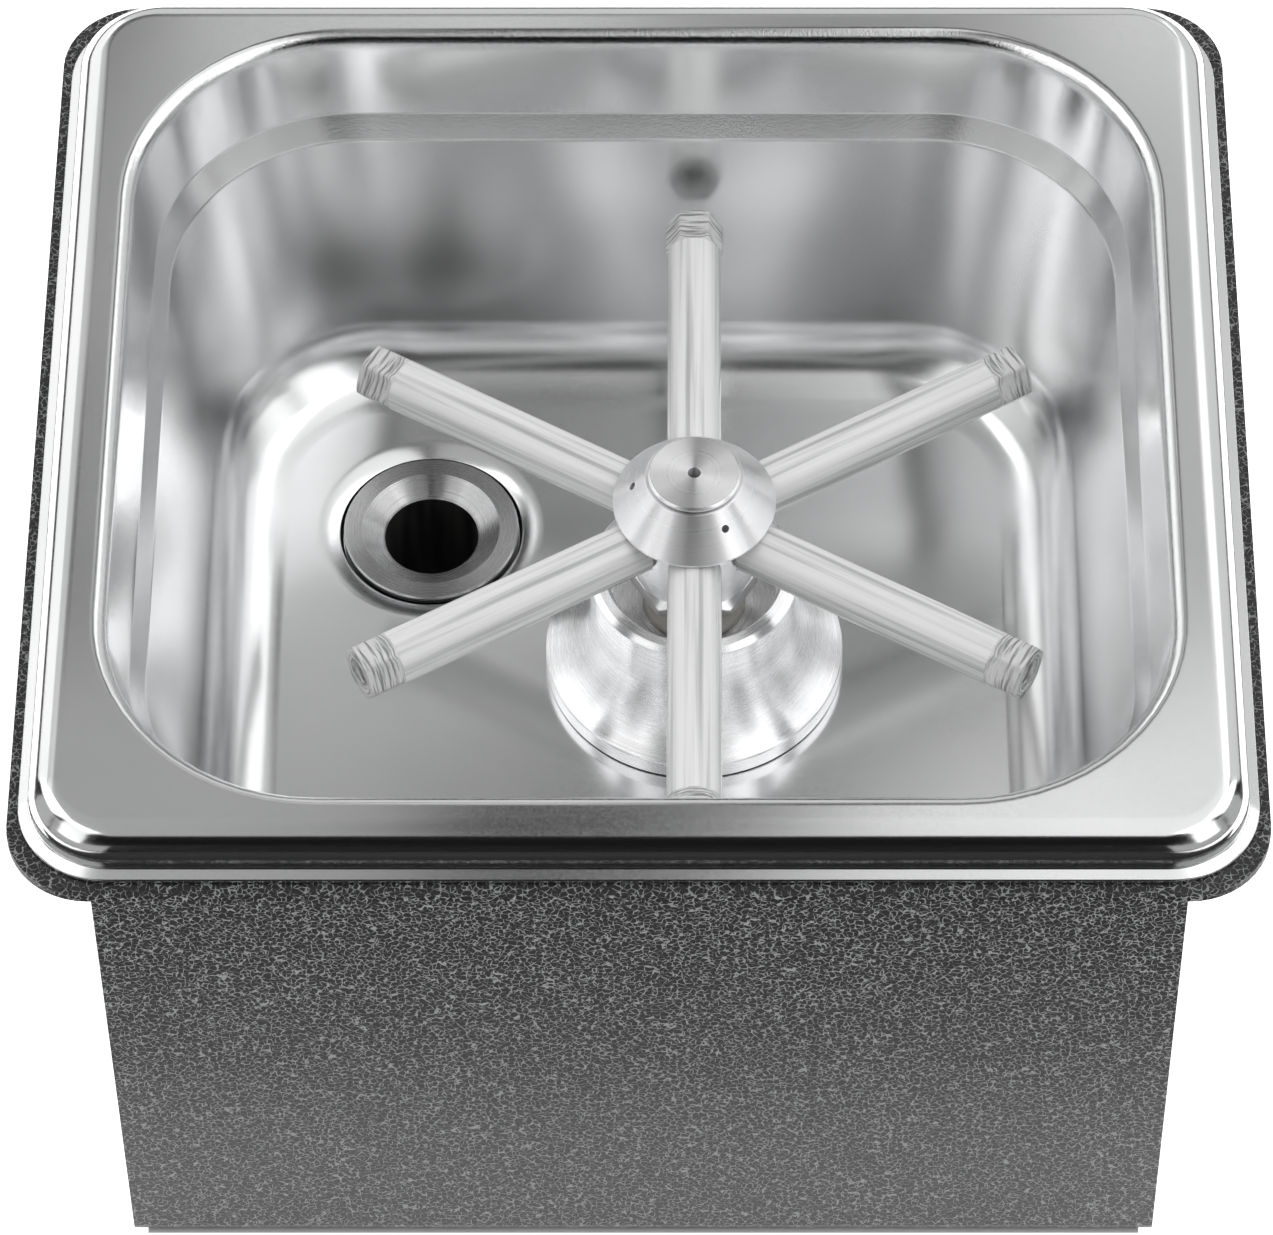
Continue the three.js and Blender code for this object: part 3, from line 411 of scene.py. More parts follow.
# Along the pan's height, from its floor (0) to its rim (1): roughness, and depth of the orange peel, which is
# deepest at the ledge and in the mouth's bend
POLISH_STOPS = [(0.0, grey(0.18)), (0.03, grey(0.23)), (0.3, grey(0.25)), (0.68, grey(0.24)),
                (0.8, grey(0.2)), (0.9, grey(0.15)), (1.0, grey(0.14))]
PEEL_STOPS = [(0.0, grey(0.03)), (0.7, grey(0.05)), (0.72, grey(0.3)), (0.78, grey(0.3)), (0.8, grey(0.05)),
              (0.955, grey(0.05)), (0.97, grey(0.7)), (0.998, grey(0.7)), (1.0, grey(0.03))]
# Half the width of the mouth with its bend, and how much less half its depth is
MOUTH_HALF = 80
MOUTH_DIFF = 7
# Feed marks of the turned pieces, drawn coarser than the real 0.1 mm so that they show
FEED = 0.35


def per_mm(size):
    """Noise scale in Blender's units for a pattern whose features are size millimetres apart."""
    return 1 / (size * MM)


def pressed_stainless():
    """Deep-drawn 304 sheet. The drawn well is satin from tumbling and the flat rim keeps more of the mill's
    polish. The sheet isn't quite flat, so reflections bend slowly. Where it was stretched round the mouth and
    the ledge its grains stand up as orange peel, which breaks the reflections there into a fine sparkle."""
    material, tree, shader = new_material("pressed_stainless", Metallic=1.0)
    place = node(tree, "TexCoord").outputs["Object"]
    x, y, height = node(tree, "SeparateXYZ", Vector=place).outputs
    cloud = node(tree, "TexNoise", Vector=place, Scale=per_mm(30), Detail=3.0).outputs["Fac"]
    swell = node(tree, "TexNoise", Vector=place, Scale=per_mm(60), Detail=0.0).outputs["Fac"]
    grain = node(tree, "TexNoise", Vector=place, Scale=per_mm(0.4), Detail=3.0, Roughness=0.7).outputs["Fac"]
    shade = node(tree, "ValToRGB", {"stops": [(0.3, colour("#ebecec")), (0.7, colour("#f3f3f4"))]}, Fac=cloud)
    level = node(tree, "MapRange", Value=height, From_Min=FLOOR_Z * MM, From_Max=RIM_Z * MM).outputs[0]
    polish = node(tree, "ValToRGB", {"stops": POLISH_STOPS}, Fac=level)
    mottle = node(tree, "MapRange", Value=grain, From_Min=0.3, From_Max=0.7, To_Min=-0.02, To_Max=0.02)
    gloss = node(tree, "Math", {"operation": "ADD"}, in0=polish.outputs["Color"], in1=mottle.outputs[0])
    aside = node(tree, "Math", {"operation": "ABSOLUTE"}, in0=x)
    ahead = node(tree, "Math", {"operation": "ABSOLUTE"}, in0=y)
    deeper = node(tree, "Math", {"operation": "ADD"}, in0=ahead.outputs[0], in1=MOUTH_DIFF * MM)
    far = node(tree, "Math", {"operation": "MAXIMUM"}, in0=aside.outputs[0], in1=deeper.outputs[0])
    inside = node(tree, "Math", {"operation": "LESS_THAN"}, in0=far.outputs[0], in1=MOUTH_HALF * MM)
    bend = node(tree, "ValToRGB", {"stops": PEEL_STOPS}, Fac=level).outputs["Color"]
    peel = node(tree, "Math", {"operation": "MULTIPLY"}, in0=bend, in1=inside.outputs[0]).outputs[0]
    slow = node(tree, "Bump", Height=swell, Strength=1.0, Distance=0.5 * MM)
    fine = node(tree, "Bump", Height=grain, Strength=peel, Distance=0.06 * MM, Normal=slow.outputs["Normal"])
    wire(tree, shader, Base_Color=shade.outputs["Color"], Roughness=gloss.outputs[0],
         Normal=fine.outputs["Normal"])
    return material


def turned_stainless(name, roughness, grain_depth, dark="#f2f2f3", light="#f8f8f9"):
    """Bar stock turned on a lathe: fine rings round the axis, a feed apart, draw each highlight out into a
    fan, and the colour clouds slowly from dark to light."""
    material, tree, shader = new_material(name, Metallic=1.0, Anisotropic=0.95, Anisotropic_Rotation=0.25)
    place = node(tree, "TexCoord").outputs["Object"]
    along = node(tree, "UVMap", {"uv_map": "turning"}).outputs["UV"]
    tangent = node(tree, "Tangent", {"direction_type": "UV_MAP", "uv_map": "turning"})
    run = node(tree, "SeparateXYZ", Vector=along).outputs["Y"]
    cloud = node(tree, "TexNoise", Vector=place, Scale=per_mm(9), Detail=2.0).outputs["Fac"]
    rings = node(tree, "TexNoise", {"noise_dimensions": "1D"}, W=run, Scale=1 / FEED, Detail=1.0,
                 Roughness=0.7).outputs["Fac"]
    shade = node(tree, "ValToRGB", {"stops": [(0.3, colour(dark)), (0.7, colour(light))]}, Fac=cloud)
    polish = node(tree, "MapRange", Value=rings, From_Min=0.25, From_Max=0.75, To_Min=roughness - 0.03,
                  To_Max=roughness + 0.04)
    bump = node(tree, "Bump", Height=rings, Strength=grain_depth, Distance=0.03 * MM)
    wire(tree, shader, Base_Color=shade.outputs["Color"], Roughness=polish.outputs[0],
         Normal=bump.outputs["Normal"], Tangent=tangent.outputs["Tangent"])
    return material


def veined_coating():
    """Black powder coat with silver veins: the resin draws back into a net of thin raised worms, just under a
    millimetre apart, with dark pools between them. Some worms swell and some stop short."""
    material, tree, shader = new_material("veined_coating", Metallic=0.0)
    place = node(tree, "TexCoord").outputs["Object"]
    drift = node(tree, "TexNoise", Vector=place, Scale=per_mm(1.6), Detail=1.0).outputs["Color"]
    moved = node(tree, "MixRGB", {"blend_type": "LINEAR_LIGHT"}, Fac=0.0006, Color1=place, Color2=drift)
    cells = node(tree, "TexVoronoi", {"feature": "DISTANCE_TO_EDGE"}, Vector=moved.outputs[0],
                 Scale=per_mm(0.9)).outputs["Distance"]
    swell = node(tree, "TexNoise", Vector=place, Scale=per_mm(0.9), Detail=1.0).outputs["Fac"]
    width = node(tree, "MapRange", Value=swell, From_Min=0.35, From_Max=0.65, To_Min=0.01, To_Max=0.13)
    share = node(tree, "Math", {"operation": "DIVIDE"}, in0=cells, in1=width.outputs[0])
    vein = node(tree, "MapRange", {"interpolation_type": "SMOOTHSTEP"}, Value=share.outputs[0], From_Min=0.3,
                From_Max=1.0, To_Min=1.0, To_Max=0.0).outputs[0]
    shade = node(tree, "ValToRGB", {"stops": [(0.1, colour("#242425")), (0.9, colour("#969798"))]}, Fac=vein)
    gloss = node(tree, "MapRange", Value=vein, To_Min=0.4, To_Max=0.6)
    bump = node(tree, "Bump", Height=vein, Strength=0.8, Distance=0.1 * MM)
    wire(tree, shader, Base_Color=shade.outputs["Color"], Roughness=gloss.outputs[0],
         Normal=bump.outputs["Normal"])
    return material


def clear_plastic():
    """Drawn clear acrylic rod, milky from water spots and fine scratches: most light scatters near the
    surface and a part goes through. The outside is glossy, with lengthwise draw lines that break the light
    into streaks."""
    material, tree, shader = new_material("clear_plastic", IOR=1.49)
    along = node(tree, "UVMap", {"uv_map": "turning"}).outputs["UV"]
    stretched = node(tree, "Mapping", Vector=along, Scale=(14.0, 0.01, 1.0)).outputs[0]
    draw = node(tree, "TexNoise", Vector=stretched, Scale=1.0, Detail=4.0, Roughness=0.6).outputs["Fac"]
    shade = node(tree, "ValToRGB", {"stops": [(0.34, colour("#cfd0d0")), (0.5, colour("#fdfdfd"))]}, Fac=draw)
    clear = node(tree, "MapRange", Value=draw, From_Min=0.35, From_Max=0.6, To_Min=0.25, To_Max=0.05)
    haze = node(tree, "MapRange", Value=draw, From_Min=0.3, From_Max=0.7, To_Min=0.05, To_Max=0.2)
    bump = node(tree, "Bump", Height=draw, Strength=0.3, Distance=0.05 * MM)
    wire(tree, shader, Base_Color=shade.outputs["Color"], Transmission_Weight=clear.outputs[0],
         Roughness=haze.outputs[0], Normal=bump.outputs["Normal"])
    return material


def cut_plastic():
    """The rod's cut tip: the cutter leaves it bright, and the thread in the bore shows through it as broken
    dark rings."""
    material, tree, shader = new_material("cut_plastic", IOR=1.49, Transmission_Weight=0.2)
    along = node(tree, "UVMap", {"uv_map": "turning"}).outputs["UV"]
    marks = node(tree, "Mapping", Vector=along, Scale=(5.0, 2.2, 1.0)).outputs[0]
    rings = node(tree, "TexNoise", Vector=marks, Scale=1.0, Detail=3.0).outputs["Fac"]
    shade = node(tree, "ValToRGB", {"stops": [(0.36, colour("#a2a3a4")), (0.52, colour("#ffffff"))]},
                 Fac=rings)
    haze = node(tree, "MapRange", Value=rings, From_Min=0.3, From_Max=0.7, To_Min=0.2, To_Max=0.03)
    bump = node(tree, "Bump", Height=rings, Strength=1.0, Distance=0.6 * MM)
    wire(tree, shader, Base_Color=shade.outputs["Color"], Roughness=haze.outputs[0],
         Normal=bump.outputs["Normal"])
    return material


def bore_painted_shade():
    """Inside of the drain's bore, which no polish reaches: rough from the drill, and painted dark as the
    shade deep in the hole, darker in some runs than in others."""
    material, tree, shader = new_material("bore_painted_shade", Metallic=0.0)
    place = node(tree, "TexCoord").outputs["Object"]
    runs = node(tree, "Mapping", Vector=place, Scale=(1.0, 1.0, 0.1)).outputs[0]
    shade_runs = node(tree, "TexNoise", Vector=runs, Scale=per_mm(2), Detail=3.0).outputs["Fac"]
    # Painted shade: this dark colour stands in for the shade deep in the bore.
    shade = node(tree, "ValToRGB", {"stops": [(0.35, colour("#141414")), (0.7, colour("#3c3b3a"))]}, Fac=shade_runs)
    gloss = node(tree, "MapRange", Value=shade_runs, To_Min=0.35, To_Max=0.6)
    bump = node(tree, "Bump", Height=shade_runs, Strength=0.3, Distance=0.05 * MM)
    wire(tree, shader, Base_Color=shade.outputs["Color"], Roughness=gloss.outputs[0],
         Normal=bump.outputs["Normal"])
    return material


def moulded(name, dark, light, roughness, grain):
    """Moulded rubber or acetal: even colour with a faint mottle and a fine matt grain."""
    material, tree, shader = new_material(name)
    place = node(tree, "TexCoord").outputs["Object"]
    mottle = node(tree, "TexNoise", Vector=place, Scale=per_mm(6), Detail=4.0).outputs["Fac"]
    fine = node(tree, "TexNoise", Vector=place, Scale=per_mm(grain), Detail=2.0).outputs["Fac"]
    shade = node(tree, "ValToRGB", {"stops": [(0.3, colour(dark)), (0.7, colour(light))]}, Fac=mottle)
    gloss = node(tree, "MapRange", Value=fine, To_Min=roughness - 0.08, To_Max=roughness + 0.08)
    bump = node(tree, "Bump", Height=fine, Strength=0.2, Distance=0.03 * MM)
    wire(tree, shader, Base_Color=shade.outputs["Color"], Roughness=gloss.outputs[0],
         Normal=bump.outputs["Normal"])
    return material


PRESSED = pressed_stainless()
TURNED = turned_stainless("turned_stainless", 0.3, 0.08)
BUFFED = turned_stainless("buffed_stainless", 0.27, 0.04)
# The drain's turned steel: a darker copy of the turned finish, painted as the shade that the drain lies in.
PAINTED_SHADE_TURNED = turned_stainless("shade_painted_stainless", 0.26, 0.08, "#aeaeae", "#c0c0c1")
COATING = veined_coating()
CLEAR = clear_plastic()
CUT = cut_plastic()
# Dark colour painted as the shade inside the drain's bore.
PAINTED_SHADE_BORE = bore_painted_shade()
RUBBER = moulded("black_rubber", "#141415", "#1e1e1f", 0.6, 0.4)
ACETAL = moulded("white_acetal", "#dcd9d0", "#e6e3db", 0.4, 0.6)


# Pan

STRAIGHT_STEPS = 40
CORNER_STEPS = 14


def loop_signs():
    """For one rounded rectangle: the sign of each point's corner in X and Y, running from one corner's sign
    to the next's along the straights, and the cosine and sine of its corner angle."""
    arc = np.linspace(0, 1, CORNER_STEPS, endpoint=False)
    line = np.linspace(0, 1, STRAIGHT_STEPS, endpoint=False)
    parts = []
    signs = [(1, 1), (-1, 1), (-1, -1), (1, -1), (1, 1)]
    for k in range(4):
        here, there = np.array(signs[k]), np.array(signs[k + 1])
        turn = (k + arc) * np.pi / 2
        end = np.full(STRAIGHT_STEPS, (k + 1) * np.pi / 2)
        move = here + (there - here) * line[:, None]
        parts.append(np.column_stack([np.tile(here, (CORNER_STEPS, 1)), np.cos(turn), np.sin(turn)]))
        parts.append(np.column_stack([move, np.cos(end), np.sin(end)]))
    return np.concatenate(parts).T


def loops(section):
    """Rounded rectangles, one for each row (half, z, diff, radius) of the section, with as many points each.
    A point is its corner's centre plus the radius at its angle. The centre lies at half less radius in X,
    and at half less diff less radius in Y."""
    sign_x, sign_y, cos, sin = loop_signs()
    half, z, diff, radius = (section[:, k:k + 1] for k in range(4))
    x = sign_x * (half - radius) + radius * cos
    y = sign_y * (half - diff - radius) + radius * sin
    return np.stack([x, y, z + 0 * x], -1)


def pan_section():
    """Upper face of the pan from its floor to its lip. A corner is (half width, height, fillet, half width
    less half depth, corner radius), and the rounded section has all of these but the fillet."""
    return rounded([
        (56, FLOOR_Z, 0, 6.2, 16.8),
        (66.2, FLOOR_Z, 11, 6.2, 27),
        (72.2, LEDGE_Z - 4, 2, 6.2, 28.5),
        (74.3, LEDGE_Z, 1.2, 6.2, 29.5),
        (76.8, RIM_Z, 2.2, 6.2, 31.5),
        (79, RIM_Z, 0, 6.2, 33.7),
        (RIM_WALL - 4.8, RIM_Z, 0, 7, 6.8),
        (RIM_WALL, RIM_Z, 4.2, 7, 11.8),
        (RIM_WALL, LIP_Z + 1.3, 0.4, 7, 11.8),
        (LIP_HALF, LIP_Z + 0.5, 0.3, 7, 13),
        (LIP_HALF, LIP_Z, 0, 7, 13),
    ], arc_steps=10, closed=False)


def offset_section(section, distance):
    """The section moved square to itself towards the underside: each point goes along the mean of the
    normals of its two sides, by distance over the cosine of half their angle."""
    step = np.diff(section[:, :2], axis=0)
    step /= np.hypot(*step.T)[:, None]
    into, away = np.vstack([step[:1], step]), np.vstack([step, step[-1:]])
    along = into + away
    along /= np.hypot(*along.T)[:, None]
    reach = distance / np.maximum(0.5, (along * into).sum(1))
    moved = section.copy()
    moved[:, 0] += along[:, 1] * reach
    moved[:, 1] -= along[:, 0] * reach
    moved[:, 3] = np.maximum(1, section[:, 3] + along[:, 1] * reach)
    return moved


def floor_rows(edge, drop, grow):
    """Rows of the floor from the drain's hole to the loop edge: circles round the drain first, then rings
    that run evenly from the last circle to the edge. The circles follow the pressed seat: a flat pocket, a
    short wall and a slope, z = floor - depth * (1 - share)^2, that fades into the floor. The pocket's last
    corner is left out again: it only tells the wall's upper round which way the slope goes."""
    wall_r = SEAT_R + GAP
    pocket = rounded([(DRAIN_HOLE_R, -SEAT_DEPTH, 0), (SEAT_R, -SEAT_DEPTH, 0.25),
                      (wall_r, -SLOPE_DEPTH, 0.12), (wall_r + GAP, 0.12 - SLOPE_DEPTH, 0)], closed=False)
    share = np.linspace(0.08, 1, 14)
    slope = np.stack([wall_r + (SLOPE_R - SEAT_R - GAP) * share, -SLOPE_DEPTH * (1 - share) ** 2], 1)
    section = np.concatenate([pocket[:-1], slope])
    radii = section[:, 0] + grow * (section[:, 0] > DRAIN_HOLE_R)
    spoke = edge[:, :2] - DRAIN
    spoke /= np.hypot(*spoke.T)[:, None]
    circles = DRAIN + spoke * radii[:, None, None]
    way = np.linspace(0, 1, 12, endpoint=False)[1:, None, None]
    rings = circles[-1] + (edge[:, :2] - circles[-1]) * way
    flat = np.concatenate([circles, rings])
    fall = np.concatenate([section[:, 1], np.zeros(len(rings))])
    z = np.broadcast_to((FLOOR_Z - drop + fall)[:, None], flat.shape[:2])
    return np.concatenate([flat, z[..., None]], -1)


def pan_grid():
    """The whole pan as one closed sheet: up its upper face from the drain's hole to the lip, and back down
    its lower face."""
    upper = pan_section()
    lower = offset_section(upper, SHEET)
    top, bottom = loops(upper), loops(lower)
    under = floor_rows(bottom[0], SHEET, SHEET / 2)[::-1]
    return np.concatenate([floor_rows(top[0], 0, 0), top, bottom[::-1], under])


def make_pan():
    """The pressed sheet, with a round hole cut through its floor for the valve base's shank."""
    hole = turned_mesh("valve_hole", sleeve(0, VALVE_HOLE_R, FLOOR_Z - 3, FLOOR_Z + 3, 0), VALVE, 72)
    weld(hole)
    sheet = surface_mesh("pan_sheet", pan_grid())
    add_piece("pan_sheet", cut(sheet, [hole]), PAN_BODY, PRESSED, ["pan"])


# Valve base and drain

def make_base():
    """Bell with its recess, and the threaded shank: rows go up the bore, over the bell's top ring, down the
    flare, which is part of an ellipse, and down the thread."""
    steps = 128
    a = around(steps)
    top, end, foot = BASE_HIGH[2], BASE_LOW[2], FLOOR_Z + GAP
    chamber, throat, recess, ring = 8, 4.6, 13.2, 16
    seat_top, step_z = SEAT_Z + 2, foot + 1.4
    neck_low, flare_low = FLOOR_Z + 14, FLOOR_Z + 3.6
    sweep = np.linspace(0, math.radians(65), 24)
    across = (FOOT_R - 0.5 - NECK_R) / (1 - math.cos(sweep[-1]))
    down = (neck_low - flare_low) / math.sin(sweep[-1])
    flare = [(NECK_R + across * (1 - math.cos(t)), neck_low - down * math.sin(t)) for t in sweep]
    bell = rounded([
        (chamber, end + 0.4, 0), (chamber, SEAT_Z, 0.2), (throat, SEAT_Z, 0.2), (throat, seat_top, 0.2),
        (GUIDE_R, seat_top, 0.1), (GUIDE_R, RECESS_Z, 0.2), (recess, RECESS_Z, 0.6),
        (recess, top - 0.5, BROKEN), (recess + 0.5, top, BROKEN), (ring - 1, top - 0.25, BROKEN),
        (ring, top - 1, 0.3), (NECK_R, neck_low + 0.4, 0), *flare, (FOOT_R - 0.15, flare_low - 0.25, BROKEN),
        (FOOT_R, flare_low - 0.5, BROKEN), (FOOT_R, foot, BROKEN), (FOOT_R - 2, foot, 0),
        (FOOT_R - 2, step_z, BROKEN), (SHANK_R, step_z, BROKEN),
    ], closed=False)
    rows = [tuple(row) for row in bell]
    rows += thread_rows(SHANK_R, 0.7, THREAD_PITCH, end + 1, FLOOR_Z + 0.5, a)[::-1]
    rows += [(SHANK_R - 0.8, end), (chamber + 0.4, end)]
    r, z = stack(rows, steps)
    mesh = surface_mesh("bell_base", revolve(r, z, VALVE, steps))
    add_piece("bell_base", mesh, PAN_BODY, BUFFED, ["valve_base"])


def make_drain():
    """Flat ring, bevel and hole of the drain, and its threaded tail. Faces no wider than the hole have the
    colour painted as the bore's shade."""
    steps = 112
    a = around(steps)
    top, end = DRAIN_HIGH[2], DRAIN_LOW[2]
    hole, bevel, flange = 7.35, 10.8, 13.8
    under, edge = top - 1.2, 0.25
    head = rounded([
        (hole, end + 0.3, 0), (hole, top - 2.2, 0.1), (hole + edge, top - 1.95, 0.1), (bevel, top, 0.1),
        (flange - edge, top, 0.1), (flange, top - edge, 0.1), (flange, under, BROKEN), (TUBE_R, under, 0.1),
    ], closed=False)
    rows = [tuple(row) for row in head]
    rows += thread_rows(TUBE_R, 0.6, THREAD_PITCH, end + 0.8, under - 1.5, a)[::-1]
    rows += [(TUBE_R - 0.6, end), (hole + edge, end)]
    r, z = stack(rows, steps)
    mesh = surface_mesh("drain_flange", revolve(r, z, DRAIN, steps))
    # The flange takes the darker turned finish, painted as shade.
    add_piece("drain_flange", mesh, PAN_BODY, PAINTED_SHADE_TURNED, ["drain_body"])
    x, y, _ = points_of(mesh)
    # The bore's faces take the dark colour painted as shade.
    second_finish(mesh, PAINTED_SHADE_BORE, np.hypot(x - DRAIN[0], y - DRAIN[1]) < hole + 0.2)


# Star

def arm_angle(k):
    """Angle of an arm about the star's axis: 30 degrees from +X, and 60 degrees from arm to arm."""
    return math.radians(30 + 60 * k)


def make_hub():
    """Barrel with a chamfered hexagon at its foot, a gallery above and six spot-faced sockets."""
    steps = 120
    a = around(steps)
    foot, top = HUB_LOW[2], HUB_HIGH[2]
    barrel, gallery, bore = 9.6, 5, 4.3
    hex_top, gallery_low = foot + 3, top - 8
    rows = [(bore, foot + 0.2), (bore, gallery_low), (gallery, gallery_low), (gallery, top),
            (barrel - BROKEN, top), (barrel, top - BROKEN), (barrel, hex_top + 0.02)]
    rows += hex_rows(2 * barrel, foot, hex_top, a)[::-1] + [(bore + 0.2, foot)]
    r, z = stack(rows, steps)
    mesh = surface_mesh("hub_barrel", revolve(r, z, VALVE, steps))
    weld(mesh)
    tools = []
    for k in range(6):
        for radius, inner_end, sides in ((SOCKET_R, ARM_ROOT - GAP, 32), (ARM_R + GAP, ARM_SEAT, 48)):
            tool = bore_cutter(radius, inner_end, 2 * barrel, sides)
            tools.append(placed(tool, math.pi / 2, arm_angle(k), (*VALVE, ARM_Z)))
    add_piece("hub_barrel", cut(mesh, tools), STAR_BODY, TURNED, ["hub_body"])


def make_cap():
    """Cone with its spigot, gallery and three spray holes square to the cone."""
    low, top = HUB_HIGH[2] + GAP, CAP_HIGH[2]
    rim, land, gallery, spigot, spigot_bore, nozzle_bore = 12.3, 7.4, 5.6, 4.7, 3.6, 2.7
    rim_height, spigot_low, gallery_low = 0.4, low - 3.8, low + 0.8
    hole, hole_at = 0.6, 9.3
    outline = [(nozzle_bore, top, 0), (nozzle_bore, low + 4.2, 0), (gallery, low + 2.2, 0.2),
               (gallery, gallery_low, 0.2), (spigot_bore, gallery_low, 0), (spigot_bore, spigot_low, 0),
               (spigot, spigot_low, 0.2), (spigot, low, 0.1), (rim, low, 0.12), (rim, low + rim_height, 0.12),
               (land, top, 0.12)]
    mesh = turned_mesh("cone_cap", outline, VALVE, 128)
    weld(mesh)
    slope = math.atan2(top - low - rim_height, rim - land)
    exit_z = top - (hole_at - land) * math.tan(slope)
    tools = []
    for k in range(3):
        turn = math.radians(60 + 120 * k)
        at = (VALVE[0] + hole_at * math.cos(turn), VALVE[1] + hole_at * math.sin(turn), exit_z)
        tools.append(placed(bore_cutter(hole, -4.5, 2), slope, turn, at))
    add_piece("cone_cap", cut(mesh, tools), STAR_BODY, TURNED, ["spray_cap"])


def make_nozzle():
    """Disc with one hole and a bevelled upper edge, on its spigot."""
    low, top = CAP_HIGH[2] + GAP, NOZZLE_HIGH[2]
    disc, spigot, hole, bevel = 7, 2.4, 0.95, 0.3
    spigot_low = low - 2.4
    outline = [(hole, spigot_low, 0), (spigot, spigot_low, 0.2), (spigot, low, 0.05), (disc, low, 0.08),
               (disc, top - bevel, 0.08), (disc - bevel, top, 0.06), (hole + 0.03, top, 0.05)]
    mesh = turned_mesh("nozzle_disc", outline, VALVE, 112)
    add_piece("nozzle_disc", mesh, STAR_BODY, TURNED, ["centre_nozzle"])


def arm_mesh(name):
    """Clear rod drawn along +Z from the hub's axis: spigot, round body, hexagonal tip whose shoulder rises
    with the radius, and a bore that is threaded at the tip. Rows run from the inner end, out along the
    outside and back down the bore."""
    steps = 96
    a = around(steps)
    spigot, bore, thread, axis = 2.3, 1.9, 2.3, 0.01
    seat, tip = ARM_SEAT + GAP, ARM_END - TIP_LENGTH
    shoulder = tip - 0.42
    hexed = hexagon(TIP_AF, a, turned_by=0, edge=0.1)
    end_face = np.minimum(hexed, TIP_AF / math.sqrt(3) - 0.45)
    body = rounded([(axis, ARM_ROOT, 0), (spigot, ARM_ROOT, 0.3), (spigot, seat, 0), (ARM_R, seat, 0.45),
                    (ARM_R, tip - 0.5, 0)], closed=False)
    rows = [tuple(row) for row in body]
    rows += [(ARM_R, tip - 0.45), (np.minimum(hexed, ARM_R + 0.02), shoulder)]
    rows += [(hexed, shoulder + np.maximum(0, hexed - ARM_R) * 0.9), (hexed, ARM_END - 0.3)]
    rows += [(end_face, ARM_END), (thread + 0.15, ARM_END)]
    rows += thread_rows(thread, 0.28, 0.8, tip - 2, ARM_END - 0.2, a, 10)[::-1]
    rows += [(bore, tip - 2.3), (bore, 13.6), (axis, 13)]
    r, z = stack(rows, steps)
    return surface_mesh(name, revolve(r, z, (0, 0), steps), wrap_rows=False)


def make_arms():
    """Six rods. The tip, from its shoulder out, has the cut finish."""
    for k in range(6):
        mesh = arm_mesh(f"clear_arm_{k + 1}")
        placed(mesh, math.pi / 2, arm_angle(k), (*VALVE, ARM_Z))
        add_piece(mesh.name, mesh, STAR_BODY, CLEAR, [f"arm_{k + 1}"])
        x, y, _ = points_of(mesh)
        along = (x - VALVE[0]) * math.cos(arm_angle(k)) + (y - VALVE[1]) * math.sin(arm_angle(k))
        second_finish(mesh, CUT, along > ARM_END - TIP_LENGTH - 0.6)


def make_stem():
    """Hollow plunger with two cross holes, the disc that carries the seal, and a pin below it for the
    spring's cup."""
    disc_top, top = SEAT_Z - 2.6, STEM_HIGH[2]
    disc, bore, axis = 7, 2.2, 0.01
    disc_low, pin_end = disc_top - 1.6, disc_top - 7
    path = rounded([
        (axis, pin_end, 0), (STEM_PIN_R, pin_end, 0.4), (STEM_PIN_R, disc_low, 0.2), (disc, disc_low, 0.2),
        (disc, disc_top, 0.2), (STEM_R, disc_top, 0.1), (STEM_R, top, 0.4), (bore, top, 0.1),
        (bore, SEAT_Z - 0.5, 0), (axis, SEAT_Z - 1.5, 0),
    ], closed=False)
    mesh = surface_mesh("plunger", revolve(path[:, 0], path[:, 1], VALVE, 64), wrap_rows=False)
    weld(mesh)
    centre = (*VALVE, SEAT_Z + 0.9)
    cross = [placed(bore_cutter(1.2, -6, 6), math.pi / 2, turn, centre) for turn in (0, math.pi / 2)]
    add_piece("plunger", cut(mesh, cross), STAR_BODY, TURNED, ["stem"])


# Seals, washers, nuts and fittings

# Node, slot, finish, radius of the bore and round of the outer edges
RINGS = [
    ("base_gasket", "black_rubber", RUBBER, 11.6, 0.3),
    ("shank_seal_washer", "black_rubber", RUBBER, VALVE_HOLE_R, 0.3),
    ("shank_washer", "pressed_stainless", PRESSED, VALVE_HOLE_R, 0.15),
    ("inlet_washer", "black_rubber", RUBBER, 8, 0.2),
    ("drain_gasket", "black_rubber", RUBBER, DRAIN_HOLE_R, 0.2),
    ("drain_seal_washer", "black_rubber", RUBBER, DRAIN_HOLE_R, 0.3),
    ("drain_washer", "pressed_stainless", PRESSED, DRAIN_HOLE_R, 0.15),
]


def make_rings():
    """Gaskets and washers, each a ring as high and as wide as its node."""
    for name, slot, finish, bore, edge in RINGS:
        low, high = corners(name)
        outer = (high[0] - low[0]) / 2
        outline = sleeve(bore, outer, low[2], high[2], edge)
        mesh = turned_mesh(f"{name}_ring", outline, axis_of(name))
        add_piece(f"{name}_ring", mesh, PAN_BODY, finish, [name])


def make_locknut(name, across_flats, bore):
    """Chamfered hexagonal nut with a countersunk, threaded bore."""
    steps = 120
    a = around(steps)
    low, high = corners(name)
    mouth, root = bore + 0.9, bore + 0.55
    rows = hex_rows(across_flats, low[2], high[2], a) + [(mouth, high[2])]
    rows += thread_rows(root, 0.5, THREAD_PITCH, low[2] + 0.5, high[2] - 0.5, a)[::-1]
    rows += [(mouth, low[2])]
    r, z = stack(rows, steps)
    mesh = surface_mesh(f"{name}_hex", revolve(r, z, axis_of(name), steps))
    add_piece(f"{name}_hex", mesh, PAN_BODY, TURNED, [name])


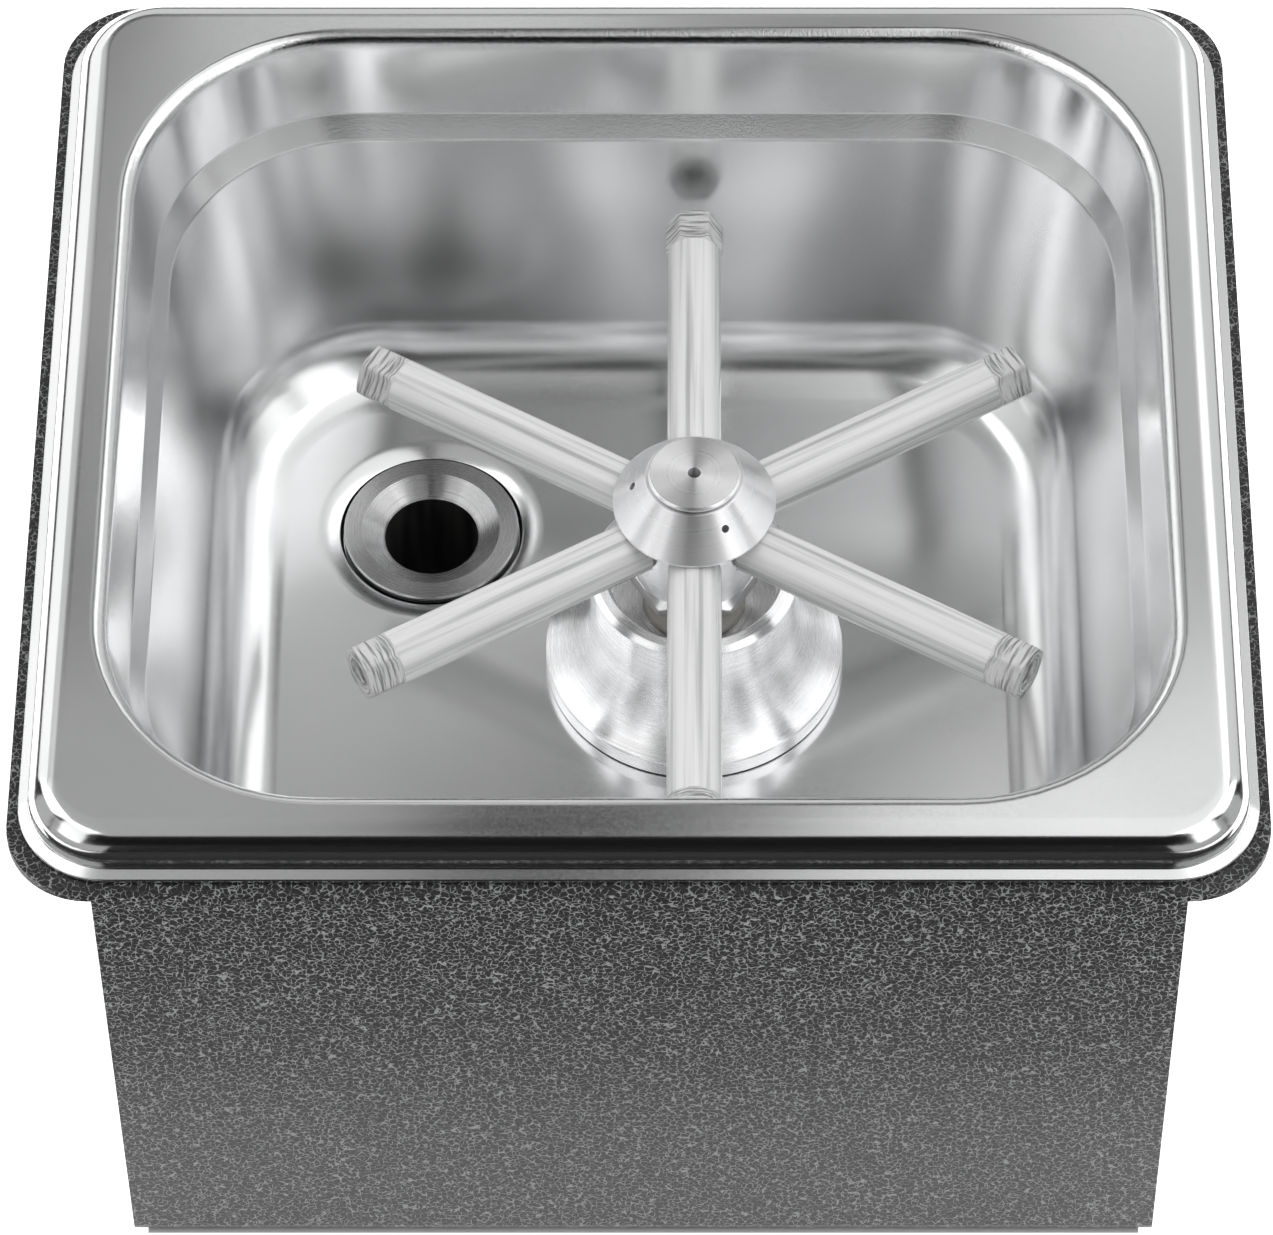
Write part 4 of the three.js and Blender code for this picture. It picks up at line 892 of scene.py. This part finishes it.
def make_inlet():
    """Threaded spigot, hexagon and hose barb, with a bore right through."""
    steps = 96
    a = around(steps)
    low, high = INLET_LOW[2], INLET_HIGH[2]
    bore, spigot, across_flats, tube, barb = 2.5, 7.7, 22, 3.9, 4.8
    hex_low = low + 14
    hex_high = hex_low + 6.5
    rows = [(bore, low + 0.3), (bore, high - 0.3), (bore + 0.3, high), (spigot - 0.6, high)]
    rows += thread_rows(spigot, 0.5, 1.25, hex_low + 6.6, high - 0.4, a)[::-1]
    rows += [(spigot - 0.5, hex_high)] + hex_rows(across_flats, hex_low, hex_high, a)[::-1]
    rows += [(tube + 0.3, hex_low), *barb_rows(tube, barb, low + 0.6, 4), (tube, low), (bore + 0.3, low)]
    r, z = stack(rows, steps)
    mesh = surface_mesh("inlet_barb", revolve(r, z, VALVE, steps))
    add_piece("inlet_barb", mesh, PAN_BODY, TURNED, ["inlet_fitting"])


def make_tail():
    """Hexagonal cup over the drain's end, and the hose barb below it."""
    steps = 96
    a = around(steps)
    low, high = TAIL_LOW[2], TAIL_HIGH[2]
    cup_low, seat = DRAIN_LOW[2] - 3, DRAIN_LOW[2] - GAP
    bore, socket, across_flats, tube, barb = 4.6, TUBE_R + GAP, 24, 5.9, 7
    rows = [(bore, low + 0.3), (bore, seat), (socket, seat), (socket, high - 0.3), (socket + 0.3, high)]
    rows += hex_rows(across_flats, cup_low, high, a)[::-1]
    rows += [(tube + 0.3, cup_low), *barb_rows(tube, barb, low + 0.8, 4.2), (tube, low), (bore + 0.3, low)]
    r, z = stack(rows, steps)
    mesh = surface_mesh("drain_barb", revolve(r, z, DRAIN, steps))
    add_piece("drain_barb", mesh, PAN_BODY, TURNED, ["drain_tail"])


def make_valve_inside():
    """Guide bush, stem ring, seat seal and the spring's cup washer. All but the ring are turned from an
    outline, and the ring is a circle of the cord's radius carried round the stem."""
    bore, outside, collar = STEM_R + GAP, GUIDE_R - GAP, 7.9
    low, step, high = RECESS_Z - 5, RECESS_Z + GAP, RECESS_Z + 1.5
    bush = turned_mesh("bush_collar", [
        (bore, low, 0.1), (outside, low, 0.2), (outside, step, 0.1), (collar, step, 0.2), (collar, high, 0.4),
        (bore, high, 0.3),
    ], VALVE)
    add_piece("bush_collar", bush, PAN_BODY, ACETAL, ["guide_bush"])
    mean, cord, t = 5.15, 0.75, around(20)
    ring = revolve(mean + cord * np.cos(t), SEAT_Z + 3.1 + cord * np.sin(t), VALVE, 72)
    add_piece("stem_ring", surface_mesh("stem_ring", ring), PAN_BODY, RUBBER, ["stem_oring"])
    seal = turned_mesh("seat_disc", sleeve(bore, 6.8, SEAT_Z - 2.3, SEAT_Z - GAP, 0.3), VALVE)
    add_piece("seat_disc", seal, STAR_BODY, RUBBER, ["seat_seal"])
    hole, inside, brim, top = STEM_PIN_R + GAP, 4.3, 6.9, SEAT_Z - 4.5
    under = top - 1
    cup = turned_mesh("spring_cup", [
        (hole, under, 0.1), (inside, under, 0.1), (inside, under - 1, 0.1), (inside + 0.3, top - 2.1, 0.1),
        (inside + 0.4, under, 0.1), (brim, under, 0.15), (brim, top, 0.3), (hole, top, 0.2),
    ], VALVE)
    add_piece("spring_cup", cup, CARRIER, PRESSED, ["spring_cap"])


def make_spring():
    """Compression spring: the centre line is a helix whose climb eases off in the first and last turn, so
    that its ends lie flat; a circle of the wire's radius is carried square to it."""
    wire, turns, steps, sides = 0.6, 7.0, 336, 14
    mean = (SPRING_HIGH[0] - SPRING_LOW[0]) / 2 - wire
    low, high = SPRING_LOW[2] + wire, SPRING_HIGH[2] - wire
    t = np.linspace(0, 1, steps)
    ease = t - 0.06 * np.sin(2 * np.pi * t)
    a = 2 * np.pi * turns * t
    line = np.stack([mean * np.cos(a), mean * np.sin(a), low + (high - low) * ease], -1)
    along = np.gradient(line, axis=0)
    along /= np.linalg.norm(along, axis=1)[:, None]
    outer = np.stack([np.cos(a), np.sin(a), 0 * a], -1)
    outer -= along * (outer * along).sum(1)[:, None]
    outer /= np.linalg.norm(outer, axis=1)[:, None]
    across = np.cross(along, outer)
    b = around(sides)[None, :, None]
    size = np.concatenate([[0.001, wire * 0.9], np.full(steps - 4, wire), [wire * 0.9, 0.001]])[:, None, None]
    tube = line[:, None] + size * (outer[:, None] * np.cos(b) + across[:, None] * np.sin(b))
    tube = tube + np.array([*VALVE, 0])
    mesh = surface_mesh("coil_spring", tube, wrap_rows=False)
    piece = add_piece("coil_spring", mesh, PAN_BODY, PRESSED, ["return_spring"])
    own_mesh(piece)


def coat_housing():
    """The housing's own sheets keep their shape and take the veined coating."""
    for name in ("housing_wrap", "housing_side_left", "housing_side_right"):
        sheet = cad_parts[name].data
        sheet.materials.clear()
        sheet.materials.append(COATING)


# Stage, lights and camera

# Strength of the glow that the camera sees, of the paper and past it, and of the world's for all else
TABLE_GLOW = 1.0
STUDIO_GLOW = 0.004
# In metres: the card's half width and its distance from the housing, and the lights' distance from the pan
CARD_HALF = 0.5
CARD_NEAR = 0.02
DISTANCE = 1.6


def stage_sheet(name, x_marks, y_marks, z):
    """Flat sheet of cells between the marks, in metres, which isn't part of the object."""
    grid = np.stack(np.meshgrid(x_marks, y_marks, [z], indexing="ij"), -1).reshape(-1, 3)
    faces = grid_faces(len(x_marks), len(y_marks), False, False)[0]
    mesh = bpy.data.meshes.new(name)
    mesh.from_pydata(grid.tolist(), [], faces.tolist())
    sheet = bpy.data.objects.new(name, mesh)
    bpy.context.scene.collection.objects.link(sheet)
    return sheet


def make_stage():
    """Pale matt table, which glows white as a lit sweep of paper does, but not in its middle cell, under the
    housing. A black card in front of the object keeps the paper out of the front rim's reflection, and out
    of nothing else. Both lie 0.1 or 0.2 mm off the floor's height, so that no two faces coincide."""
    size = 3.0
    low, high = (v * MM for v in corners("housing_wrap"))
    side = corners("housing_side_right")[0][0] * MM + 0.01
    front, back = low[1] + 0.011, high[1] - 0.011
    table = stage_sheet("table", [-size, -side, side, size], [-size, front, back, size], -0.0002)
    paper = {"Base_Color": colour("#f2f2f2"), "Roughness": 0.8}
    glow = {"Emission_Color": colour("#ffffff"), "Emission_Strength": TABLE_GLOW}
    table.data.materials.append(new_material("lit_paper", **paper, **glow)[0])
    table.data.materials.append(new_material("shaded_paper", **paper)[0])
    table.data.polygons[4].material_index = 1
    card = stage_sheet("front_card", [-CARD_HALF, CARD_HALF], [-size, low[1] - CARD_NEAR], 0.0001)
    card.data.materials.append(new_material("black_card", Base_Color=colour("#0c0c0c"), Roughness=0.9)[0])
    card.visible_camera = card.visible_diffuse = card.visible_shadow = card.visible_transmission = False


# Softboxes round the table. Azimuth is from +X towards +Y; all but the radiance are in degrees:
# name, azimuth, elevation, width, height, radiance
SOFTBOXES = [
    ("back_box", 90, 24, 38, 32, 0.65),
    ("back_edge_box", 76, 47, 8, 13, 0.45),
    ("back_high_box", 96, 50, 8, 9, 0.55),
    ("back_rim_box", 86, 44.5, 20, 6, 0.35),
    ("right_box", 48, 22, 44, 36, 0.65),
    ("right_high_box", 56, 46, 22, 14, 1.2),
    ("right_side_box", 10, 40, 36, 40, 1.4),
    ("left_box", 132, 24, 42, 32, 1.05),
    ("left_high_box", 130, 46, 34, 14, 0.55),
    ("left_side_box", 170, 40, 36, 40, 1.5),
    ("front_left_box", 215, 42, 26, 44, 1.1),
    ("front_right_box", 325, 42, 26, 44, 1.3),
    ("left_low_box", 180, 9, 26, 18, 0.45),
    ("right_low_box", 0, 9, 26, 18, 0.45),
    ("front_left_low_box", 226, 13, 62, 24, 0.4),
    ("front_right_low_box", 314, 13, 62, 24, 0.4),
]
# Panels under the ceiling, in metres: name, lowest and highest X, lowest and highest Y, radiance
CEILING = [
    ("ceiling_right", 0.055, 1.3, -1.0, 1.12, 0.95),
    ("ceiling_left", -1.3, -0.12, -1.0, 1.12, 0.42),
]


def area_light(name, place, turn, width, height, radiance):
    """Area light out of the camera's sight. Its power is radiance times pi times area."""
    data = bpy.data.lights.new(name, "AREA")
    data.shape = "RECTANGLE"
    data.size, data.size_y = width, height
    data.energy = radiance * math.pi * width * height
    lamp = bpy.data.objects.new(name, data)
    lamp.location = place
    lamp.rotation_euler = turn
    lamp.visible_camera = False
    bpy.context.scene.collection.objects.link(lamp)


def softbox(name, azimuth, elevation, across, up, radiance):
    """Softbox aimed at the pan, as wide and high as the angles that it fills from there."""
    a, e = math.radians(azimuth), math.radians(elevation)
    away = Vector((math.cos(a) * math.cos(e), math.sin(a) * math.cos(e), math.sin(e)))
    width, height = (2 * DISTANCE * math.tan(math.radians(angle / 2)) for angle in (across, up))
    place = Vector((0, 0, RIM_Z * MM)) + away * DISTANCE
    area_light(name, place, away.to_track_quat("Z", "Y").to_euler(), width, height, radiance)


def ceiling_panel(name, x_low, x_high, y_low, y_high, radiance):
    """Level panel over the table, facing down."""
    place = ((x_low + x_high) / 2, (y_low + y_high) / 2, RIM_Z * MM + DISTANCE)
    area_light(name, place, (0, 0, 0), x_high - x_low, y_high - y_low, radiance)


def make_lights():
    """Softboxes in an otherwise dark studio, with white paper as far as the camera sees. The view is left
    unfiltered, as a product photograph is, so that the brightest reflections burn out to white."""
    world = bpy.data.worlds.new("studio")
    world.use_nodes = True
    background = world.node_tree.nodes["Background"]
    background.inputs["Color"].default_value = colour("#ffffff")
    seen = node(world.node_tree, "LightPath").outputs["Is Camera Ray"]
    level = node(world.node_tree, "MapRange", Value=seen, To_Min=STUDIO_GLOW, To_Max=TABLE_GLOW).outputs[0]
    world.node_tree.links.new(level, background.inputs["Strength"])
    bpy.context.scene.world = world
    bpy.context.scene.view_settings.view_transform = "Standard"
    for box in SOFTBOXES:
        softbox(*box)
    for panel in CEILING:
        ceiling_panel(*panel)


def make_camera():
    """View of the photograph, fitted to the rim's outline: focal length and principal point in its pixels,
    the eye's place in metres, and how far it looks down in degrees."""
    width, focal, principal_x = 1273, 6479, 691
    place, looks_down = (0.0074, -0.5894, 0.8669), 53.75
    data = bpy.data.cameras.new("view")
    data.sensor_width = 36
    data.lens = focal * data.sensor_width / width
    data.shift_x = -(principal_x - width / 2) / width
    data.clip_start, data.clip_end = 0.01, 20
    eye = bpy.data.objects.new("view", data)
    eye.location = place
    eye.rotation_euler = (math.radians(90 - looks_down), 0, 0)
    bpy.context.scene.collection.objects.link(eye)
    bpy.context.scene.camera = eye


make_camera()
make_stage()
make_lights()
coat_housing()
make_pan()
make_base()
make_drain()
make_hub()
make_cap()
make_nozzle()
make_arms()
make_stem()
make_rings()
make_locknut("shank_locknut", across_flats=30, bore=SHANK_R)
make_locknut("drain_locknut", across_flats=26, bore=TUBE_R)
make_inlet()
make_tail()
make_valve_inside()
make_spring()
